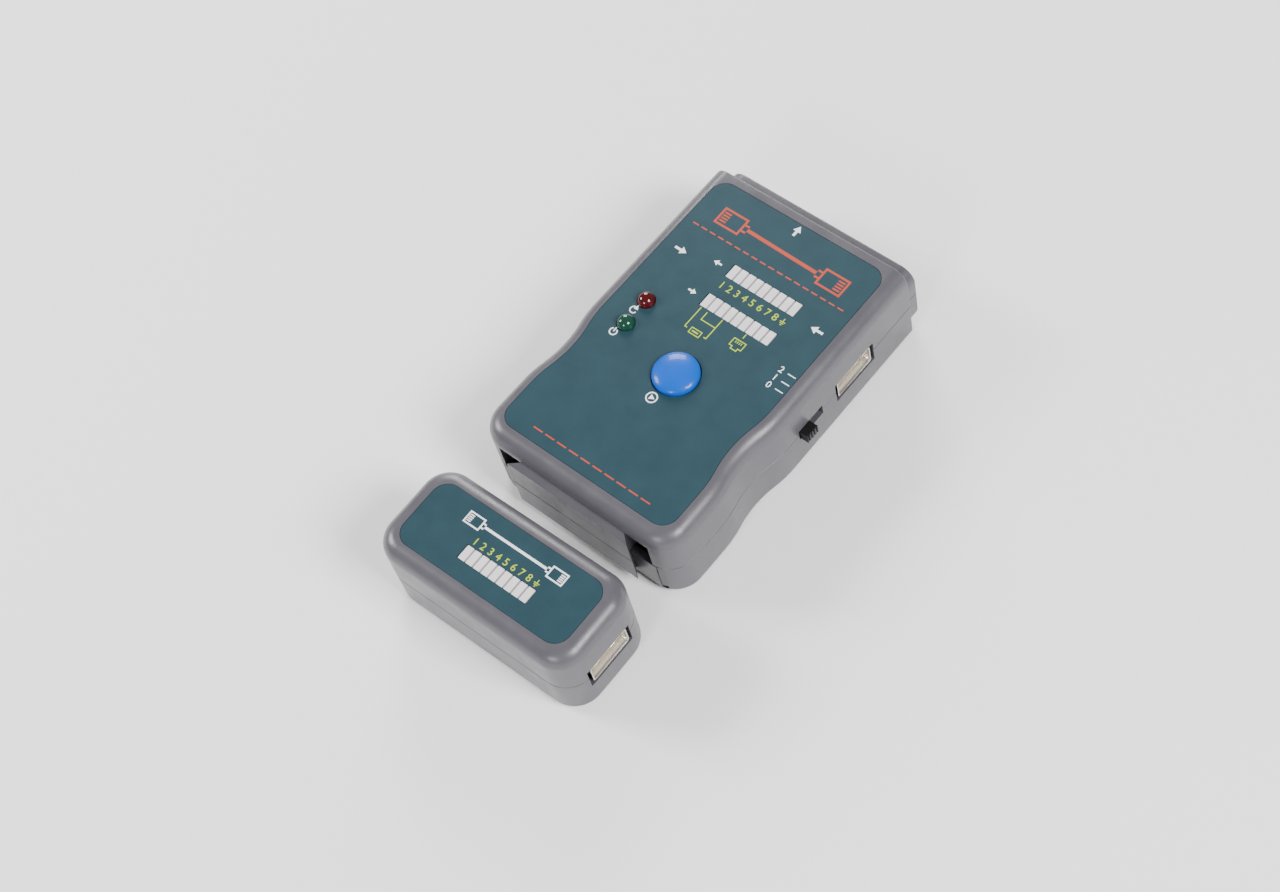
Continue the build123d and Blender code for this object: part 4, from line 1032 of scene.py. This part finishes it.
# ---------------------------------------------------------------- flat USB sockets
@dataclass
class FlatSocket:
    """Sheet-metal shell of a flat USB socket, with turned lips and sprung leaves in its walls."""

    node: str
    name: str
    body: str
    mouth: Vector
    outward: Vector
    width_mm: float = 13.2
    height_mm: float = 5.8
    depth_mm: float = 13.6
    sheet_mm: float = 0.35
    flare_mm: float = 0.32
    lip_mm: float = 0.35

    def build(self) -> None:
        """Model the shell and its leaves and replace the CAD shell."""
        shell = self.shell()
        leaves = [self.leaf(side, across) for side in (1, -1) for across in (-3.1, 3.1)]
        whole = join([shell, *leaves], self.name)
        smooth(whole, 30)
        add_piece(whole, self.body, "socket_metal", NICKEL, self.node)

    def basis(self) -> Matrix:
        """Return the turn that sends +X out of the mouth and +Y across it."""
        across = Vector((0, 0, 1)).cross(self.outward)
        return Matrix((self.outward, across, Vector((0, 0, 1)))).transposed().to_4x4()

    def shell(self) -> bpy.types.Object:
        """Model the tube: a block with round corners, hollowed from its mouth, its rim turned out.

        Returns:
            The shell, in place.
        """
        deselect()
        bpy.ops.mesh.primitive_cube_add(size=1)
        tube = bpy.context.object
        tube.scale = (self.depth_mm * MM, self.width_mm * MM, self.height_mm * MM)
        tube.location = (-self.depth_mm / 2 * MM, 0, 0)
        settle(tube)
        self.round_long_edges(tube)
        select_faces(tube, lambda face: face.normal.x > 0.9)
        bpy.ops.object.mode_set(mode="EDIT")
        bpy.ops.transform.translate(value=(-2 * self.lip_mm * MM, 0, 0))
        bpy.ops.mesh.extrude_region_move(TRANSFORM_OT_translate={"value": (self.lip_mm * MM, 0, 0)})
        bpy.ops.mesh.extrude_region_move(TRANSFORM_OT_translate={"value": (self.lip_mm * MM, 0, 0)})
        wider, taller = 2 * self.flare_mm / self.width_mm, 2 * self.flare_mm / self.height_mm
        bpy.ops.transform.resize(value=(1, 1 + wider, 1 + taller))
        bpy.ops.mesh.inset(thickness=self.sheet_mm * MM)
        bpy.ops.mesh.extrude_region_move(TRANSFORM_OT_translate={"value": (-2 * self.lip_mm * MM, 0, 0)})
        bpy.ops.transform.resize(value=(1, 1 - wider, 1 - taller))
        bpy.ops.mesh.extrude_region_move(
            TRANSFORM_OT_translate={"value": (-(self.depth_mm - 3 * self.lip_mm) * MM, 0, 0)},
        )
        bpy.ops.object.mode_set(mode="OBJECT")
        tube.data.transform(Matrix.Translation(self.mouth) @ self.basis())
        return tube

    @staticmethod
    def round_long_edges(tube: bpy.types.Object) -> None:
        """Round the four edges that run into the socket.

        Args:
            tube: The block, still square.
        """
        focus(tube)
        bpy.ops.object.mode_set(mode="EDIT")
        bpy.ops.mesh.select_mode(type="EDGE")
        bpy.ops.mesh.select_all(action="DESELECT")
        bpy.ops.object.mode_set(mode="OBJECT")
        points = tube.data.vertices
        for edge in tube.data.edges:
            run = points[edge.vertices[0]].co - points[edge.vertices[1]].co
            edge.select = abs(run.x) > abs(run.y) + abs(run.z)
        bpy.ops.object.mode_set(mode="EDIT")
        bpy.ops.mesh.bevel(offset=0.75 * MM, segments=4, affect="EDGES")
        bpy.ops.object.mode_set(mode="OBJECT")

    def leaf(self, side: int, across: float) -> bpy.types.Object:
        """Model one sprung leaf: a strip that bows into the mouth from a wall.

        Args:
            side: 1 for the upper wall and -1 for the lower.
            across: Place across the mouth in millimetres.

        Returns:
            The leaf, in place.
        """
        deselect()
        bpy.ops.mesh.primitive_grid_add(x_subdivisions=7, y_subdivisions=1, size=1)
        strip = bpy.context.object
        strip.scale = (4.6 * MM, 1.7 * MM, 1)
        settle(strip)
        wall = side * (self.height_mm / 2 - self.sheet_mm)
        for point in strip.data.vertices:
            share = point.co.x / (4.6 * MM) + 0.5
            bow = 0.42 * math.sin(math.pi * min(1.0, share * 1.15))
            point.co.z = (wall - side * (0.05 + bow)) * MM
            point.co.x -= 4.6 * MM
            point.co.y += across * MM
        focus(strip)
        modifier = strip.modifiers.new("sheet", "SOLIDIFY")
        modifier.thickness = 0.2 * MM
        modifier.offset = 0
        bpy.ops.object.modifier_apply(modifier=modifier.name)
        strip.data.transform(Matrix.Translation(self.mouth) @ self.basis())
        face_outwards(strip)
        return strip


# ---------------------------------------------------------------- studio
@dataclass(frozen=True)
class Viewpoint:
    """Camera that looks at the pair from the transmit side's right, from above."""

    lens_mm: float = 66.34
    azimuth: float = 55.41
    elevation: float = 58.52
    roll: float = -17.74
    distance_mm: float = 594.37
    target_mm: tuple[float, float, float] = (7.23, -29.47, 27.7)

    def build(self) -> None:
        """Create the camera and make it the scene's."""
        az, el, roll = (math.radians(value) for value in (self.azimuth, self.elevation, self.roll))
        back = Vector((math.sin(az) * math.cos(el), -math.cos(az) * math.cos(el), math.sin(el)))
        level = Vector((math.cos(az), math.sin(az), 0))
        above = back.cross(level)
        right = math.cos(roll) * level + math.sin(roll) * above
        up = -math.sin(roll) * level + math.cos(roll) * above
        data = bpy.data.cameras.new("studio_camera")
        data.lens = self.lens_mm
        data.sensor_width = 36.0
        data.sensor_fit = "HORIZONTAL"
        data.clip_start, data.clip_end = 0.01, 20.0
        camera = bpy.data.objects.new("studio_camera", data)
        bpy.context.scene.collection.objects.link(camera)
        turn = Matrix((right, up, back)).transposed().to_4x4()
        place = (Vector(self.target_mm) + back * self.distance_mm) * MM
        camera.matrix_world = Matrix.Translation(place) @ turn
        bpy.context.scene.camera = camera


@dataclass(frozen=True)
class Softbox:
    """One square area light, aimed at the pair."""

    name: str
    place: tuple[float, float, float]
    size: float
    power: float
    aim: tuple[float, float, float] = (0.0, -0.03, 0.02)

    def build(self) -> None:
        """Create the light."""
        data = bpy.data.lights.new(self.name, "AREA")
        data.shape = "SQUARE"
        data.size = self.size
        data.energy = self.power
        lamp = bpy.data.objects.new(self.name, data)
        bpy.context.scene.collection.objects.link(lamp)
        lamp.location = self.place
        way = Vector(self.aim) - Vector(self.place)
        lamp.rotation_euler = way.to_track_quat("-Z", "Y").to_euler()


@dataclass
class Studio:
    """Pale floor, soft light and pale surroundings."""

    boxes: tuple[Softbox, ...] = (
        Softbox("key_box", (1.05, 0.05, 0.95), 0.5, 30.0),
        Softbox("back_box", (-0.75, 0.80, 0.50), 0.5, 14.0),
        Softbox("left_box", (-0.75, -0.35, 0.55), 0.3, 8.0),
        Softbox("front_box", (0.25, -1.05, 0.60), 0.3, 6.0),
    )
    surround: float = 0.30

    def build(self) -> None:
        """Create the floor, the lights and the world."""
        deselect()
        bpy.ops.mesh.primitive_plane_add(size=6, location=(0, 0, 0))
        floor = bpy.context.object
        floor.name = "studio_floor"
        dress(floor, Finish("pale_floor", (0.96, 0.96, 0.96), 0.75, tone_change=0.0, grain_depth=0.0))
        floor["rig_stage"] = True
        for box in self.boxes:
            box.build()
        world = bpy.data.worlds.new("pale_room")
        world.use_nodes = True
        sky = world.node_tree.nodes["Background"]
        sky.inputs["Color"].default_value = (1.0, 1.0, 1.0, 1)
        sky.inputs["Strength"].default_value = self.surround
        bpy.context.scene.world = world


def dress_nodes() -> None:
    """Give every CAD node the finish of its material slot."""
    for entry in frame["record"]["subparts"]:
        node = frame["nodes"][entry["node"]]
        dress(node, SLOT_FINISHES[entry["material_slot"]])


def middle_of(node: str) -> Vector:
    """Return the middle of a CAD node's box."""
    low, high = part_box(node)
    return (low + high) / 2


def main() -> None:
    """Dress the frame, add the pieces and set up the studio."""
    logging.basicConfig(level=logging.INFO, format="%(message)s")
    remote_turn = 1.1
    Viewpoint().build()
    dress_nodes()
    shells = MouldedShells()
    shells.build()
    LabelFilm().build(shells)
    RoundCap(
        "test_button", "round_button", "button", "button_plastic",
        flange_mm=7.8, skirt_mm=6.4, flange_height_mm=1.0, shoulder_mm=3.8, hollow_mm=(5.0, 2.6),
    ).build()
    for colour in ("red", "green"):
        RoundCap(
            f"{colour}_led", f"{colour}_dome", "main_unit", f"{colour}_lens",
            flange_mm=2.85, skirt_mm=2.45, flange_height_mm=1.0, shoulder_mm=5.5, facets=64,
        ).build()
    for node, name, body, turn in (
        ("tx_leds", "transmit_bar", "main_unit", 0.0),
        ("rx_leds", "receive_bar", "main_unit", 0.0),
        ("remote_leds", "remote_bar", "remote", remote_turn),
    ):
        IndicatorBar(node, name, body, turn).build()

    sheet_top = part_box("front_label")[1].z - 0.005 * MM
    tx, rx = middle_of("tx_leds") / MM, middle_of("rx_leds") / MM
    main_sheet = PrintSheet("label", "main_unit", Vector((0, 0, sheet_top)))
    MainMarks(main_sheet, tx.x, tx.y, rx.y).build()

    remote_middle = middle_of("remote_label")
    remote_origin = Vector((remote_middle.x, remote_middle.y, sheet_top))
    remote_sheet = PrintSheet("remote_label", "remote", remote_origin, remote_turn)
    turn_back = Matrix.Rotation(math.radians(-remote_turn), 3, "Z")
    bar_place = turn_back @ (middle_of("remote_leds") - remote_origin) / MM
    RemoteMarks(remote_sheet, bar_place.x, bar_place.y).build()

    turn = Matrix.Rotation(math.radians(remote_turn), 3, "Z")
    for node, name, body, outward in (
        ("usb_socket_shell", "usb_shell", "main_unit", Vector((1, 0, 0))),
        ("remote_usb_socket_shell", "remote_usb_shell", "remote", turn @ Vector((1, 0, 0))),
    ):
        low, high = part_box(node)
        middle = (low + high) / 2
        mouth = middle + outward * ((high.x - low.x) / 2 - 0.12 * MM * (body == "remote"))
        FlatSocket(node, name, body, mouth, outward).build()

    Studio().build()
    low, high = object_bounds()


if __name__ == "__main__":
    main()
